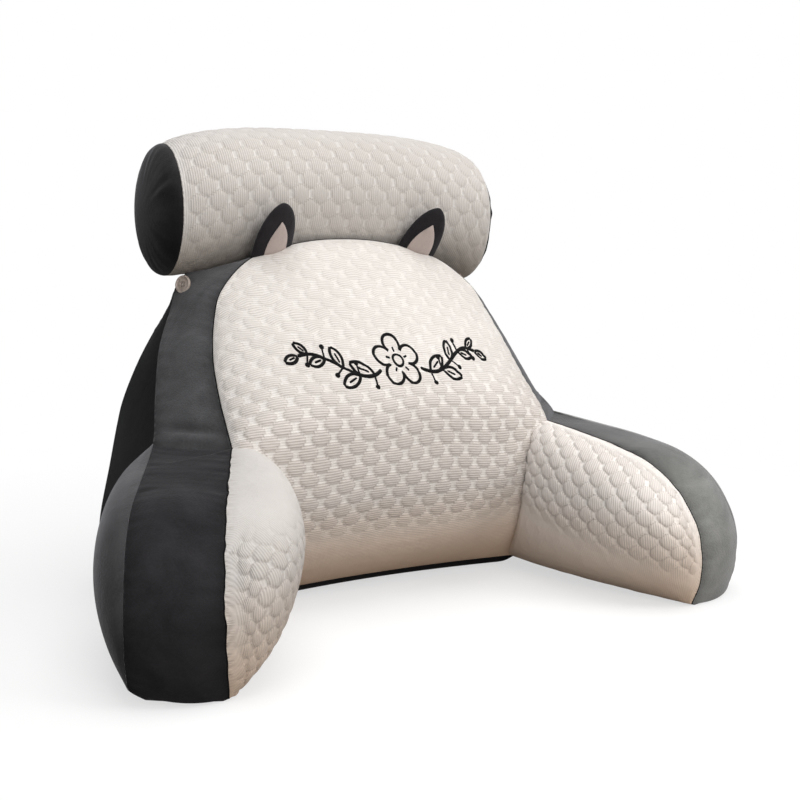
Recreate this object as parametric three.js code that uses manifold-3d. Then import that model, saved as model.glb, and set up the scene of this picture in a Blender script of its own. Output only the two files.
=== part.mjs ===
// Triangular reading pillow: a filled wedge with two arms, a neck bolster, two ears and two buttons.
// Millimetres, +Z up, the front looks along -Y. The origin lies under the middle of the whole pillow.
import * as THREE from 'three';
import { mergeVertices } from 'three/addons/utils/BufferGeometryUtils.js';
import ManifoldModule from 'manifold-3d';

const wasm = await ManifoldModule();
wasm.setup();

// Driving dimensions
const gap = 0.4; // clearance between two sewn pieces
const facets = { body: 12, arm: 9, armTail: 1, band: 4, bolsterLength: 12, bolsterRound: 20, cap: 4, ear: 12,
  earLining: 6, button: 16 };
const body = { panelCrown: 46, backCrown: 9, fullness: 0.72, bandCrown: 4, sideCrown: 3 };
const bulgeRise = 60; // length over which a band's bulge fades in or out
const arm = { innerCrown: 69, innerFullness: 0.45, skew: 0.3, tail: 9, outerCrown: 30, outerFullness: 0.55,
  bandCrown: 11 };
const bolster = { halfLength: 219, endRadius: 84, barrel: 6, depth: 421, endHeight: 484, arch: 24 };
const cap = { bulge: 27, droop: 4, roundness: 2.2 };
const ear = { level: 9.42, spread: 0.35, lean: [4, -41, 51], halfWidth: 28, halfThickness: 4.5, sunk: 6 };
const earLining = { width: 0.6, low: 0.06, high: 0.8, thickness: 2.2, hem: 0.4 };
const button = { radius: 11.8, thickness: 4.4, rim: 2, dish: 1.2, edge: 0.8, shankRadius: 3.5, shank: 3 };
const buttonSeat = { level: 7.78, across: 0.85, lift: -0.4, tilt: 0.3 };

// The sole's edge, from the floor up: height, and how far it is drawn in.
const soleProfile = [
  { height: 0, inset: 40 },
  { height: 3, inset: 22 },
  { height: 7, inset: 9 },
  { height: 13.6, inset: 0 },
];

// Side seams of the wedge, a row for each level from the base up to the middle of the top edge.
// inner joins front panel and gusset, outer joins gusset and back, back is the rear edge.
// Each is [half width, depth, height].
const bodyRows = [
  { inner: [209, 244, 14], outer: [300, 300, 14], back: [298, 498, 14] },
  { inner: [208, 208, 70], outer: [303, 290, 75], back: [294, 494, 80] },
  { inner: [210, 186, 130], outer: [303, 282, 135], back: [282, 486, 150] },
  { inner: [215, 184, 175], outer: [297, 275, 182], back: [275, 476, 205] },
  { inner: [219, 191, 212], outer: [288, 268, 214], back: [264, 464, 240] },
  { inner: [215, 238, 261], outer: [268, 319, 259], back: [250, 450, 285] },
  { inner: [209, 274, 306], outer: [250, 357, 312], back: [233, 443, 325] },
  { inner: [196, 303, 352], outer: [229, 381, 356], back: [214, 441, 361] },
  { inner: [179, 318, 387], outer: [207, 399, 403], back: [190, 441, 398] },
  { inner: [133, 335, 424], outer: [144, 420, 414], back: [134, 445, 410] },
  { inner: [64, 341, 443], outer: [70, 430, 417], back: [68, 448, 413] },
  { inner: [0, 343, 448], outer: [0, 433, 418], back: [0, 449, 414] },
];
const waistLevel = 4; // row where an arm joins the wedge
const shoulderLevel = 8; // row where a side turns into the top edge
const topLevel = bodyRows.length - 1;
const baseBow = { inner: 18, outer: 0, back: 6 }; // how far each base edge bows to the rear

// Seams of an arm in its own upright plane, a row for each step from the front foot up and back.
// Each is [distance back from the front foot, height], and width is that of the band between them.
const armRows = [
  { inner: [0, 2], outer: [-3, 10], width: 97 },
  { inner: [-10, 32], outer: [-13, 36], width: 98 },
  { inner: [-11, 70], outer: [-16, 72], width: 98 },
  { inner: [-2, 104], outer: [-7, 107], width: 97 },
  { inner: [22, 141], outer: [19, 145], width: 96 },
  { inner: [58, 170], outer: [64, 174], width: 94 },
  { inner: [105, 188], outer: [125, 192], width: 92 },
  { inner: [160, 202], outer: [194, 204], width: 91 },
  { inner: [208, 212], outer: [254, 214], width: 91 },
];
const armShoulder = 4;
const armEnd = armRows.length - 1;
const frontFoot = new THREE.Vector3(301, 0, 0);

const colours = { ivory: 0xe6ddd3, charcoal: 0x47474b, coal: 0x2b2b2e, shell: 0xb9aca0 };
const fabric = (colour) => new THREE.MeshStandardMaterial({ color: colour, roughness: 0.95, metalness: 0 });
const plastic = (colour) => new THREE.MeshStandardMaterial({ color: colour, roughness: 0.5, metalness: 0 });

const pillow = new THREE.Group();
const up = new THREE.Vector3(0, 0, 1);

// ---- curves and patches -------------------------------------------------------------------------

// A smooth curve through a list of points, read by row number.
function rowCurve(points, lastRow) {
  const curve = new THREE.CatmullRomCurve3(points, false, 'catmullrom', 0.5);
  const segments = points.length - 1;
  return (row) => curve.getPoint(Math.min(row, lastRow) / segments);
}

// A seam of the wedge on its right side. One mirrored row past the top keeps the arch smooth there.
function bodySeam(name) {
  const points = bodyRows.map((row) => new THREE.Vector3(...row[name]));
  const mirrored = points[topLevel - 1].clone();
  mirrored.x *= -1;
  return rowCurve([...points, mirrored], topLevel);
}

const bodySeams = { inner: bodySeam('inner'), outer: bodySeam('outer'), back: bodySeam('back') };

// Axes of the right arm: along runs from the front foot to the waist, outward leaves the seat.
const waist = bodySeams.inner(waistLevel);
const along = new THREE.Vector3(waist.x - frontFoot.x, waist.y - frontFoot.y, 0).normalize();
const outward = new THREE.Vector3(along.y, -along.x, 0);

// A seam of the right arm: foot + distance * along + width * outward + height * up.
function armSeam(name, hasWidth) {
  const points = armRows.map((row) => {
    const [distance, height] = row[name];
    return frontFoot.clone().addScaledVector(along, distance)
      .addScaledVector(outward, hasWidth ? row.width : 0)
      .addScaledVector(up, height);
  });
  return rowCurve(points, armEnd);
}

const armSeams = { inner: armSeam('inner', false), outer: armSeam('outer', true) };

// Coons patch: both pairs of edges blended, less the blend of the corners. Rows of a grid follow t.
function coonsGrid(edges, columns, rows) {
  const grid = [];
  const corner = [edges.left(0), edges.right(0), edges.left(1), edges.right(1)];
  for (let j = 0; j <= rows; j += 1) {
    const t = j / rows;
    const line = [];
    for (let i = 0; i <= columns; i += 1) {
      const s = i / columns;
      const point = new THREE.Vector3()
        .addScaledVector(edges.bottom(s), 1 - t).addScaledVector(edges.top(s), t)
        .addScaledVector(edges.left(t), 1 - s).addScaledVector(edges.right(t), s)
        .addScaledVector(corner[0], -(1 - s) * (1 - t)).addScaledVector(corner[1], -s * (1 - t))
        .addScaledVector(corner[2], -(1 - s) * t).addScaledVector(corner[3], -s * t);
      line.push(point);
    }
    grid.push(line);
  }
  return grid;
}

// The surface that spans one loop of body seams, from base edge to arched top.
function bodyPatch(name) {
  const seam = bodySeams[name];
  const mirror = (point, side) => point.setX(point.x * side);
  const corner = seam(0);
  const edges = {
    left: (t) => mirror(seam(t * shoulderLevel), -1),
    right: (t) => seam(t * shoulderLevel),
    bottom: (s) => {
      const w = 2 * s - 1;
      return new THREE.Vector3(w * corner.x, corner.y + baseBow[name] * (1 - w * w), corner.z);
    },
    top: (s) => {
      const w = 2 * s - 1;
      return mirror(seam(topLevel - (topLevel - shoulderLevel) * Math.abs(w)), Math.sign(w));
    },
  };
  return coonsGrid(edges, facets.body, facets.body);
}

// The surface that spans one arm seam, closed at the rear by the wedge's own seam.
function armPatch(name) {
  const seam = armSeams[name];
  const joint = bodySeams[name];
  const step = seam(armEnd).sub(joint(waistLevel));
  const foot = seam(0);
  const heel = joint(0);
  const edges = {
    left: (t) => seam(t * armShoulder),
    top: (s) => seam(armShoulder + s * (armEnd - armShoulder)),
    right: (t) => joint(t * waistLevel).addScaledVector(step, t),
    bottom: (s) => foot.clone().lerp(heel, s),
  };
  return coonsGrid(edges, facets.arm, facets.arm);
}

// Unit normals of a grid, from the differences between neighbours.
function gridNormals(grid) {
  const clamp = THREE.MathUtils.clamp;
  const at = (j, i) => grid[clamp(j, 0, grid.length - 1)][clamp(i, 0, grid[0].length - 1)];
  return grid.map((line, j) => line.map((_, i) => {
    const across = at(j, i + 1).clone().sub(at(j, i - 1));
    const upwards = at(j + 1, i).clone().sub(at(j - 1, i));
    return across.cross(upwards).normalize();
  }));
}

// Crown a patch: height * ((1 - u^2)(1 - v^2))^fullness * (1 + skew * v) along the normal, with
// u and v from -1 to 1. The normal may point down no more steeply than lowestSlope.
function crowned(grid, { height, fullness, side, skew = 0, lowestSlope = -1 }) {
  const normals = gridNormals(grid);
  const rows = grid.length - 1;
  const columns = grid[0].length - 1;
  return grid.map((line, j) => line.map((point, i) => {
    const u = 2 * i / columns - 1;
    const v = 2 * j / rows - 1;
    const rise = height * ((1 - u * u) * (1 - v * v)) ** fullness * (1 + skew * v);
    const normal = normals[j][i].multiplyScalar(side);
    normal.setZ(Math.max(normal.z, lowestSlope)).normalize();
    return point.clone().addScaledVector(normal, rise);
  }));
}

const shifted = (grid, offset) => grid.map((line) => line.map((point) => point.clone().add(offset)));

// ---- closed solids ------------------------------------------------------------------------------

// The loop round a grid: base edge, right side, top edge, left side.
function rim(grid) {
  const rows = grid.length - 1;
  const columns = grid[0].length - 1;
  const loop = [];
  for (let i = 0; i < columns; i += 1) loop.push(grid[0][i]);
  for (let j = 0; j < rows; j += 1) loop.push(grid[j][columns]);
  for (let i = columns; i > 0; i -= 1) loop.push(grid[rows][i]);
  for (let j = rows; j > 0; j -= 1) loop.push(grid[j][0]);
  return loop;
}

// Triangles of a grid as a flat list of corners, turned over when flip is true. The cells are cut
// towards the grid's middle, so no triangle lies wholly on its rim.
function gridTriangles(grid, flip, closed = false) {
  const list = [];
  const width = grid[0].length;
  for (let j = 0; j < grid.length - 1; j += 1) {
    for (let i = 0; i < (closed ? width : width - 1); i += 1) {
      const next = (i + 1) % width;
      const [a, b, c, d] = [grid[j][i], grid[j][next], grid[j + 1][next], grid[j + 1][i]];
      const leans = (2 * i < width - 1) === (2 * j < grid.length - 1);
      const pair = leans ? [a, b, c, a, c, d] : [a, b, d, b, c, d];
      list.push(...(flip ? pair.reverse() : pair));
    }
  }
  return list;
}

// An indexed geometry with shared corners and without the triangles that have no area.
function closedGeometry(triangles) {
  const flat = new THREE.BufferGeometry().setFromPoints(triangles);
  const merged = mergeVertices(flat, 1e-3);
  const kept = [];
  const index = merged.getIndex().array;
  for (let k = 0; k < index.length; k += 3) {
    const [a, b, c] = [index[k], index[k + 1], index[k + 2]];
    if (a !== b && b !== c && c !== a) kept.push(a, b, c);
  }
  merged.setIndex(kept);
  return merged;
}

// Six times the volume inside a list of triangles, negative when they are inside out.
function signedVolume(triangles) {
  let sum = 0;
  for (let k = 0; k < triangles.length; k += 3) {
    sum += triangles[k].dot(triangles[k + 1].clone().cross(triangles[k + 2]));
  }
  return sum;
}

function manifoldOf(position, index) {
  const mesh = new wasm.Mesh({
    numProp: 3,
    vertProperties: new Float32Array(position),
    triVerts: new Uint32Array(index),
  });
  return new wasm.Manifold(mesh);
}

// A closed solid with its faces turned outwards.
function solid(triangles) {
  const outwardFacing = signedVolume(triangles) > 0;
  const order = outwardFacing ? [0, 1, 2] : [0, 2, 1];
  const turned = triangles.map((_, k) => triangles[k - (k % 3) + order[k % 3]]);
  const geometry = closedGeometry(turned);
  return manifoldOf(geometry.getAttribute('position').array, geometry.getIndex().array);
}

function geometryOf(manifold) {
  const mesh = manifold.getMesh();
  const geometry = new THREE.BufferGeometry();
  geometry.setAttribute('position', new THREE.BufferAttribute(new Float32Array(mesh.vertProperties), 3));
  geometry.setIndex(new THREE.BufferAttribute(new Uint32Array(mesh.triVerts), 1));
  return geometry;
}

// A pad between two grids that share their rim.
const pad = (front, rear) => solid([...gridTriangles(front, false), ...gridTriangles(rear, true)]);

// A flat lid over a level loop of points.
function lid(loop, facingDown) {
  const contour = loop.map((point) => new THREE.Vector2(point.x, point.y));
  return THREE.ShapeUtils.triangulateShape(contour, []).flatMap(([a, b, c]) => {
    const turn = contour[b].clone().sub(contour[a]).cross(contour[c].clone().sub(contour[a]));
    return (turn > 0) === facingDown ? [loop[a], loop[c], loop[b]] : [loop[a], loop[b], loop[c]];
  });
}

// Triangles from a loop of points to one centre.
function fan(ring, centre, flip) {
  return ring.flatMap((point, k) => {
    const next = ring[(k + 1) % ring.length];
    return flip ? [centre, next, point] : [centre, point, next];
  });
}

function middleOf(ring) {
  return ring.reduce((sum, point) => sum.add(point), new THREE.Vector3()).divideScalar(ring.length);
}

// A solid skinned over a row of rings, its last end drawn to tip.
function skinned(rings, tip) {
  const ends = [...fan(rings[0], middleOf(rings[0]), true), ...fan(rings.at(-1), tip, false)];
  return solid([...gridTriangles(rings, false, true), ...ends]);
}

// A slab between two grids, walled by a band that bulges by bulgeAt(point) * 4w(1 - w).
function slab(front, rear, bulgeAt) {
  const near = rim(front);
  const far = rim(rear);
  const count = near.length;
  const rings = [];
  for (let k = 0; k <= facets.band; k += 1) {
    const w = k / facets.band;
    rings.push(near.map((point, i) => {
      const tangent = near[(i + 1) % count].clone().sub(near[(i + count - 1) % count]);
      const normal = tangent.cross(far[i].clone().sub(point)).normalize();
      const place = point.clone().lerp(far[i], w);
      place.addScaledVector(normal, bulgeAt(point) * 4 * w * (1 - w));
      return place.setZ(Math.max(place.z, 0));
    }));
  }
  const faces = [...gridTriangles(front, false), ...gridTriangles(rear, true)];
  return solid([...faces, ...gridTriangles(rings, true, true)]);
}

// The same solid with each corner moved out along its normal, used to leave a clearance round it.
function grown(manifold, distance) {
  const geometry = geometryOf(manifold);
  geometry.computeVertexNormals();
  const position = geometry.getAttribute('position');
  const normal = geometry.getAttribute('normal');
  for (let k = 0; k < position.count; k += 1) {
    const place = new THREE.Vector3().fromBufferAttribute(position, k);
    place.addScaledVector(new THREE.Vector3().fromBufferAttribute(normal, k), distance);
    position.setXYZ(k, place.x, place.y, place.z);
  }
  return manifold.add(manifoldOf(position.array, geometry.getIndex().array));
}

// The same solid on the other side of the middle plane.
function mirrored(manifold) {
  const mesh = manifold.getMesh();
  const position = mesh.vertProperties.map((value, k) => (k % 3 === 0 ? -value : value));
  const index = mesh.triVerts.map((_, k) => mesh.triVerts[k - (k % 3) + [0, 2, 1][k % 3]]);
  return manifoldOf(position, index);
}

const largest = (manifold) => manifold.decompose().sort((a, b) => b.volume() - a.volume())[0];
const trimmed = (manifold, cutter) => largest(manifold.subtract(cutter));
const joined = (list) => list.reduce((sum, item) => sum.add(item));

function addPiece(name, manifold, material) {
  const mesh = new THREE.Mesh(geometryOf(manifold), material);
  mesh.name = name;
  pillow.add(mesh);
}

const smooth = (x, low, high) => THREE.MathUtils.smoothstep(x, low, high);

// ---- wedge --------------------------------------------------------------------------------------

const towardsFront = new THREE.Vector3(0, -gap, 0);
const innerSurface = bodyPatch('inner');
const outerSurface = bodyPatch('outer');
const backSurface = bodyPatch('back');

// The ivory panel, crowned forwards from the inner seam.
function frontPanel() {
  const rear = shifted(innerSurface, towardsFront);
  const crown = { height: body.panelCrown, fullness: body.fullness, side: 1, lowestSlope: -0.15 };
  return pad(crowned(rear, crown), rear);
}

// The plush band between the seams, straight across where the arms and the bolster lie against it.
function bodyGusset() {
  const waistHeight = bodyRows[waistLevel].inner[2];
  const archHeight = bodyRows[shoulderLevel].inner[2];
  const rising = (z) => smooth(z, waistHeight, waistHeight + bulgeRise);
  const falling = (z) => 1 - smooth(z, archHeight - bulgeRise / 2, archHeight);
  const rear = shifted(outerSurface, towardsFront);
  return slab(innerSurface, rear, ({ z }) => -body.bandCrown * rising(z) * falling(z));
}

// The rear of the wedge: side panels that narrow to the top, and the back.
function backPanel() {
  const crown = { height: body.backCrown, fullness: body.fullness, side: -1, lowestSlope: -0.1 };
  const sideBulge = ({ z }) => -body.sideCrown * smooth(z, bodyRows[0].outer[2], bulgeRise);
  return slab(outerSurface, crowned(backSurface, crown), sideBulge);
}

// The flat sole: the outline of the wedge's underside, drawn in towards the floor.
function basePanel() {
  const frontEdge = innerSurface[0];
  const rearEdge = backSurface[0].slice().reverse();
  const corner = outerSurface[0];
  const outline = [...frontEdge, corner.at(-1), ...rearEdge, corner[0]];
  const middle = new THREE.Box3().setFromPoints(outline).getCenter(new THREE.Vector3());
  const ring = ({ height, inset }) => outline.map(({ x, y }) => {
    const spread = new THREE.Vector3(x - middle.x, y - middle.y, 0);
    spread.setLength(spread.length() - inset);
    return new THREE.Vector3(middle.x + spread.x, middle.y + spread.y, height);
  });
  const rings = soleProfile.map(ring);
  return solid([...gridTriangles(rings, false, true), ...lid(rings[0], true), ...lid(rings.at(-1), false)]);
}

// ---- arm ----------------------------------------------------------------------------------------

const outwardGap = outward.clone().multiplyScalar(gap / 2);
const inwardGap = outwardGap.clone().negate();
const armInnerSurface = armPatch('inner');
const armOuterSurface = armPatch('outer');

// The grid carried on past its rear edge, so that its crown is still full where it meets the wedge.
function tailed(grid) {
  return grid.map((line) => {
    const extra = Array.from({ length: facets.armTail }, (_, k) => line.at(-1).clone()
      .addScaledVector(along, arm.tail * (k + 1) / facets.armTail));
    return [...line, ...extra];
  });
}

// The ivory panel that faces the seat.
function armInnerPanel() {
  const rear = tailed(shifted(armInnerSurface, inwardGap));
  const crown = { height: arm.innerCrown, fullness: arm.innerFullness, side: -1, skew: arm.skew };
  return pad(crowned(rear, crown), rear);
}

// The plush band over the top of the arm, down its front and underneath.
function armGusset() {
  const near = shifted(armInnerSurface, outwardGap);
  const far = shifted(armOuterSurface, inwardGap);
  const flatBeyond = waist.y - gap;
  const bulge = ({ y }) => arm.bandCrown * (1 - smooth(y, flatBeyond - bulgeRise, flatBeyond));
  return slab(near, far, bulge);
}

// The plush panel on the outside.
function armOuterPanel() {
  const rear = shifted(armOuterSurface, outwardGap);
  const crown = { height: arm.outerCrown, fullness: arm.outerFullness, side: 1 };
  return pad(crowned(rear, crown), rear);
}

// ---- bolster ------------------------------------------------------------------------------------

// A ring round the bolster's axis.
function bolsterRing(x, radius, height) {
  return Array.from({ length: facets.bolsterRound }, (_, k) => {
    const angle = 2 * Math.PI * k / facets.bolsterRound;
    const y = bolster.depth + radius * Math.cos(angle);
    return new THREE.Vector3(x, y, height + radius * Math.sin(angle));
  });
}

// A bowed roll: axis height = end + arch (1 - |x|^3), radius = end + barrel (1 - x^8), x from -1 to 1.
function bolsterCover() {
  const rings = [];
  for (let k = 0; k <= facets.bolsterLength; k += 1) {
    const x = -Math.cos(Math.PI * k / facets.bolsterLength);
    const height = bolster.endHeight + bolster.arch * (1 - Math.abs(x) ** 3);
    const radius = bolster.endRadius + bolster.barrel * (1 - x ** 8);
    rings.push(bolsterRing(x * bolster.halfLength, radius, height));
  }
  return skinned(rings, middleOf(rings.at(-1)));
}

// A puffed end: bulge * sqrt(1 - r^roundness) beyond the end seam, its middle hanging a little.
function bolsterCap() {
  const seam = bolster.halfLength + gap;
  const rings = [];
  for (let k = 0; k < facets.cap; k += 1) {
    const r = Math.cos(Math.PI / 2 * k / facets.cap);
    const x = seam + cap.bulge * Math.sqrt(1 - r ** cap.roundness);
    rings.push(bolsterRing(x, bolster.endRadius * r, bolster.endHeight - cap.droop * (1 - r * r)));
  }
  return skinned(rings, new THREE.Vector3(seam + cap.bulge, bolster.depth, bolster.endHeight - cap.droop));
}

// ---- ears ---------------------------------------------------------------------------------------

// The axes of the right ear: it stands in the top seam and leans forwards over the panel.
const earFoot = bodySeams.inner(ear.level);
const earLean = new THREE.Vector3(...ear.lean);
const earLength = earLean.length() + ear.sunk;
const earUp = earLean.normalize();
const earOutside = bodySeams.inner(ear.level - ear.spread);
const earAcross = earOutside.sub(bodySeams.inner(ear.level + ear.spread)).normalize();
const earFront = earAcross.clone().cross(earUp).normalize();

const earHalfWidth = (v) => ear.halfWidth * (1 - v ** 1.7) ** 0.85;
const earHalfThickness = (v) => ear.halfThickness * (1 - v * v) ** 0.5;

// A point of the ear: v runs up, x across, depth forwards.
function earPoint(v, x, depth) {
  return earFoot.clone().addScaledVector(earUp, v * earLength - ear.sunk)
    .addScaledVector(earAcross, x)
    .addScaledVector(earFront, depth);
}

// A leaf with an elliptical section: half width a (1 - v^1.7)^0.85, half thickness b sqrt(1 - v^2).
function earOuter() {
  const levels = [0, 0.2, 0.4, 0.6, 0.78, 0.9, 0.97];
  const rings = levels.map((v) => Array.from({ length: facets.ear }, (_, k) => {
    const angle = 2 * Math.PI * k / facets.ear;
    return earPoint(v, earHalfWidth(v) * Math.cos(angle), earHalfThickness(v) * Math.sin(angle));
  }));
  return skinned(rings, earPoint(1, 0, 0));
}

// The light leaf sewn on the front of an ear: it lies on the ear's curve and ends in a point.
function earInner() {
  const steps = Array.from({ length: facets.earLining + 1 }, (_, k) => k / facets.earLining);
  const grid = (swell) => steps.map((t) => {
    const v = THREE.MathUtils.lerp(earLining.low, earLining.high, t);
    const half = earLining.width * earHalfWidth(v) * (1 - t ** 3) + earLining.hem;
    const puff = swell * Math.min(1, 8 * t * (1 - t));
    return steps.map((s) => {
      const u = 2 * s - 1;
      const skin = earHalfThickness(v) * Math.sqrt(1 - (u * half / earHalfWidth(v)) ** 2);
      return earPoint(v, u * half, skin + gap + puff * (1 - u ** 4));
    });
  });
  return pad(grid(earLining.thickness), grid(0));
}

// ---- buttons ------------------------------------------------------------------------------------

// A turned button with a raised rim on its thread shank.
function buttonProfile() {
  const { radius, thickness, rim, dish, edge, shank, shankRadius } = button;
  const top = shank + thickness;
  const points = [[0, 0], [shankRadius, 0], [shankRadius, shank], [radius - edge, shank],
    [radius, shank + edge], [radius, top - edge], [radius - edge, top], [radius - rim, top],
    [radius - rim - dish, top - dish], [0, top - dish]];
  return points.map(([x, y]) => new THREE.Vector2(x, y));
}

// It stands on the gusset just under an end of the bolster, tipped a little to the front.
function buttonDisc() {
  const { level, across, lift, tilt } = buttonSeat;
  const inner = bodySeams.inner(level);
  const outer = bodySeams.outer(level);
  const upwards = bodySeams.outer(level + 0.3).sub(bodySeams.outer(level - 0.3));
  const normal = outer.clone().sub(inner).cross(upwards).normalize();
  const facing = normal.clone().lerp(new THREE.Vector3(0, -1, 0), tilt).normalize();
  const seat = inner.lerp(outer, across).addScaledVector(normal, lift);
  const turned = new THREE.LatheGeometry(buttonProfile(), facets.button).rotateX(Math.PI / 2);
  turned.applyQuaternion(new THREE.Quaternion().setFromUnitVectors(up, facing));
  const corners = turned.translate(seat.x, seat.y, seat.z).toNonIndexed().getAttribute('position');
  const corner = (_, k) => new THREE.Vector3().fromBufferAttribute(corners, k);
  return solid(Array.from({ length: corners.count }, corner));
}

// ---- assembly -----------------------------------------------------------------------------------

const cover = bolsterCover();
const rightCap = bolsterCap();
const bolsterRoom = grown(joined([cover, rightCap, mirrored(rightCap)]), gap);
const wedge = {
  front_panel: trimmed(frontPanel(), bolsterRoom),
  body_gusset: trimmed(bodyGusset(), bolsterRoom),
  back_panel: trimmed(backPanel(), bolsterRoom),
  base_panel: basePanel(),
};
const wedgeRoom = joined(Object.values(wedge).map((piece) => grown(piece, 1.5 * gap)));

const ivory = fabric(colours.ivory);
const charcoal = fabric(colours.charcoal);
const coal = fabric(colours.coal);
const shell = plastic(colours.shell);

addPiece('front_panel', wedge.front_panel, ivory);
addPiece('body_gusset', wedge.body_gusset, charcoal);
addPiece('back_panel', wedge.back_panel, coal);
addPiece('base_panel', wedge.base_panel, coal);
addPiece('bolster_cover', cover, ivory);

// Each piece that has a twin on the left; the last value says whether it gives way to the wedge.
const pairs = [
  ['arm_inner_panel', armInnerPanel(), ivory, true],
  ['arm_gusset', armGusset(), charcoal, true],
  ['arm_outer_panel', armOuterPanel(), charcoal, true],
  ['bolster_cap', rightCap, coal, false],
  ['ear_outer', earOuter(), charcoal, true],
  ['ear_inner', earInner(), ivory, true],
  ['button', buttonDisc(), shell, false],
];
pairs.forEach(([name, piece, material, givesWay]) => {
  const fitted = (side) => (givesWay ? trimmed(side, wedgeRoom) : side);
  addPiece(`${name}_right`, fitted(piece), material);
  addPiece(`${name}_left`, fitted(mirrored(piece)), material);
});

const centre = new THREE.Box3().setFromObject(pillow).getCenter(new THREE.Vector3());
pillow.position.set(-centre.x, -centre.y, 0);

export default pillow;
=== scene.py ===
# The looks of a triangular reading pillow: quilted ivory panels in charcoal and black plush, with a
# neck bolster, two ears, two buttons and a stitched garland. Metres, +Z up, the front looks along -Y.
import math

import bmesh
import bpy
import numpy as np
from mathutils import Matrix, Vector


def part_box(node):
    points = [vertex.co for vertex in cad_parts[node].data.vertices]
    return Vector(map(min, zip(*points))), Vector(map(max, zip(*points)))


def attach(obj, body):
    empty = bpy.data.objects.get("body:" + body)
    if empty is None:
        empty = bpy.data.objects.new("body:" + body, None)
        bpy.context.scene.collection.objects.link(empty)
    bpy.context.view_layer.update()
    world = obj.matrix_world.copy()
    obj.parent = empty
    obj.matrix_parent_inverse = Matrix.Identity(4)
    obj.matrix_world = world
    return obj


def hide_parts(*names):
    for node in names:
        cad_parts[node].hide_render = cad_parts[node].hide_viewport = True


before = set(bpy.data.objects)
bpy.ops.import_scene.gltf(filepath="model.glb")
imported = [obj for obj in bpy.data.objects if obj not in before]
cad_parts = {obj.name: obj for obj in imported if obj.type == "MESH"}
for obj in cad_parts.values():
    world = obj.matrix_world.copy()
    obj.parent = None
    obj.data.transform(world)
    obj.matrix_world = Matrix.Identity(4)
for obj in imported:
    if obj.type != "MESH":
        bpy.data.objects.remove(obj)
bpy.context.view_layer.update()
print("frame loaded:", len(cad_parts), "nodes")

millimetre = 0.001
gap = 0.4 * millimetre  # clearance between two sewn pieces
rightwards = np.array([1.0, 0.0, 0.0])
up = np.array([0.0, 0.0, 1.0])

# Side seams of the wedge in millimetres, a row for each level from the base up to the middle of the top
# edge: inner (panel and band), outer (band and back) and back (rear edge), each half width, depth and
# height.
wedge = {
    "rows": [
        (209, 244, 19, 300, 300, 17, 298, 498, 19),
        (208, 208, 70, 303, 290, 75, 294, 494, 80),
        (210, 186, 130, 303, 282, 135, 281, 486, 150),
        (215, 184, 175, 297, 275, 182, 272, 476, 205),
        (219, 191, 212, 286, 268, 214, 266, 464, 240),
        (215, 238, 261, 267, 319, 259, 251, 450, 285),
        (209, 274, 306, 249, 357, 312, 231, 443, 325),
        (196, 303, 352, 227, 381, 356, 207, 441, 361),
        (179, 318, 387, 202, 399, 401, 180, 441, 396),
        (133, 335, 424, 144, 420, 414, 134, 445, 410),
        (64, 341, 443, 70, 430, 417, 68, 448, 413),
        (0, 343, 448, 0, 433, 418, 0, 449, 414),
    ],
    "waistLevel": 4,  # row where an arm joins the wedge
    "shoulderLevel": 8,  # row where a side turns into the top edge
    "baseBow": {"inner": 18, "outer": 0, "back": 6},  # how far each base edge bows to the rear
    "rearOfBase": 504,  # depth of the rearmost point of the sole's rim
}

# Seams of an arm in its own upright plane in millimetres, a row for each step from the front foot up
# and back: inner distance and height, outer distance and height, width of the band between them.
arm = {
    "rows": [
        (0, 2, -6, 8, 92),
        (-10, 32, -13, 36, 93),
        (-11, 70, -16, 72, 93),
        (-2, 104, -7, 107, 93),
        (22, 141, 19, 145, 94),
        (58, 170, 64, 174, 94),
        (105, 188, 125, 190, 92),
        (160, 202, 194, 201, 91),
        (208, 212, 254, 212, 91),
    ],
    "shoulder": 4,  # row where the front turns into the top
    "frontFoot": (301, 0, 0),
    "tailShare": 0.1,  # part of the inner panel that runs on into the wedge
    "tail": 16 * millimetre,
}

depthShift = wedge["rearOfBase"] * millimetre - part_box("base_panel")[1].y
intoFrame = np.array([0, depthShift, 0])
wedgeRows = np.array(wedge["rows"]).reshape(-1, 3, 3) * millimetre - intoFrame
wedgeSeamRows = {name: wedgeRows[:, k] for k, name in enumerate(("inner", "outer", "back"))}
topLevel = len(wedge["rows"]) - 1
armRows = np.array(arm["rows"]) * millimetre
frontFoot = np.array(arm["frontFoot"]) * millimetre - intoFrame


# A smooth curve through rows of points, read by row number: Catmull-Rom, a cubic between two rows
# whose slope at each row is half the step between the rows on either side of it.
def rowCurve(points, lastRow):
    longer = np.concatenate([[2 * points[0] - points[1]], points, [2 * points[-1] - points[-2]]])

    def at(row):
        row = np.clip(np.asarray(row, float), 0, lastRow)
        k = np.minimum(row.astype(int), len(points) - 2)
        w = (row - k).reshape(row.shape + (1,) * (points.ndim - 1))
        a, b, c, d = (longer[k + i] for i in range(4))
        return (b * (2 * w**3 - 3 * w**2 + 1) + c * (3 * w**2 - 2 * w**3)
                + (c - a) / 2 * (w**3 - 2 * w**2 + w) + (d - b) / 2 * (w**3 - w**2))

    return at


# An even, seeded wander along x: five sines of rising pitch with set phases, about -1 to 1.
def wander(x, wavelength, seed):
    phases = np.random.default_rng(seed).uniform(0, 2 * np.pi, 5)
    pitches = [1, 1.37, 1.93, 2.61, 3.4]
    waves = [np.sin(2 * np.pi * x / wavelength * pitch + phase) / pitch**0.6
             for pitch, phase in zip(pitches, phases)]
    return sum(waves) / 2.4


# A wedge seam with one mirrored row past the top, which keeps the arch smooth there.
def wedgeSeam(name):
    rows = wedgeSeamRows[name]
    return rowCurve(np.vstack([rows, rows[-2] * [-1, 1, 1]]), topLevel)


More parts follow.
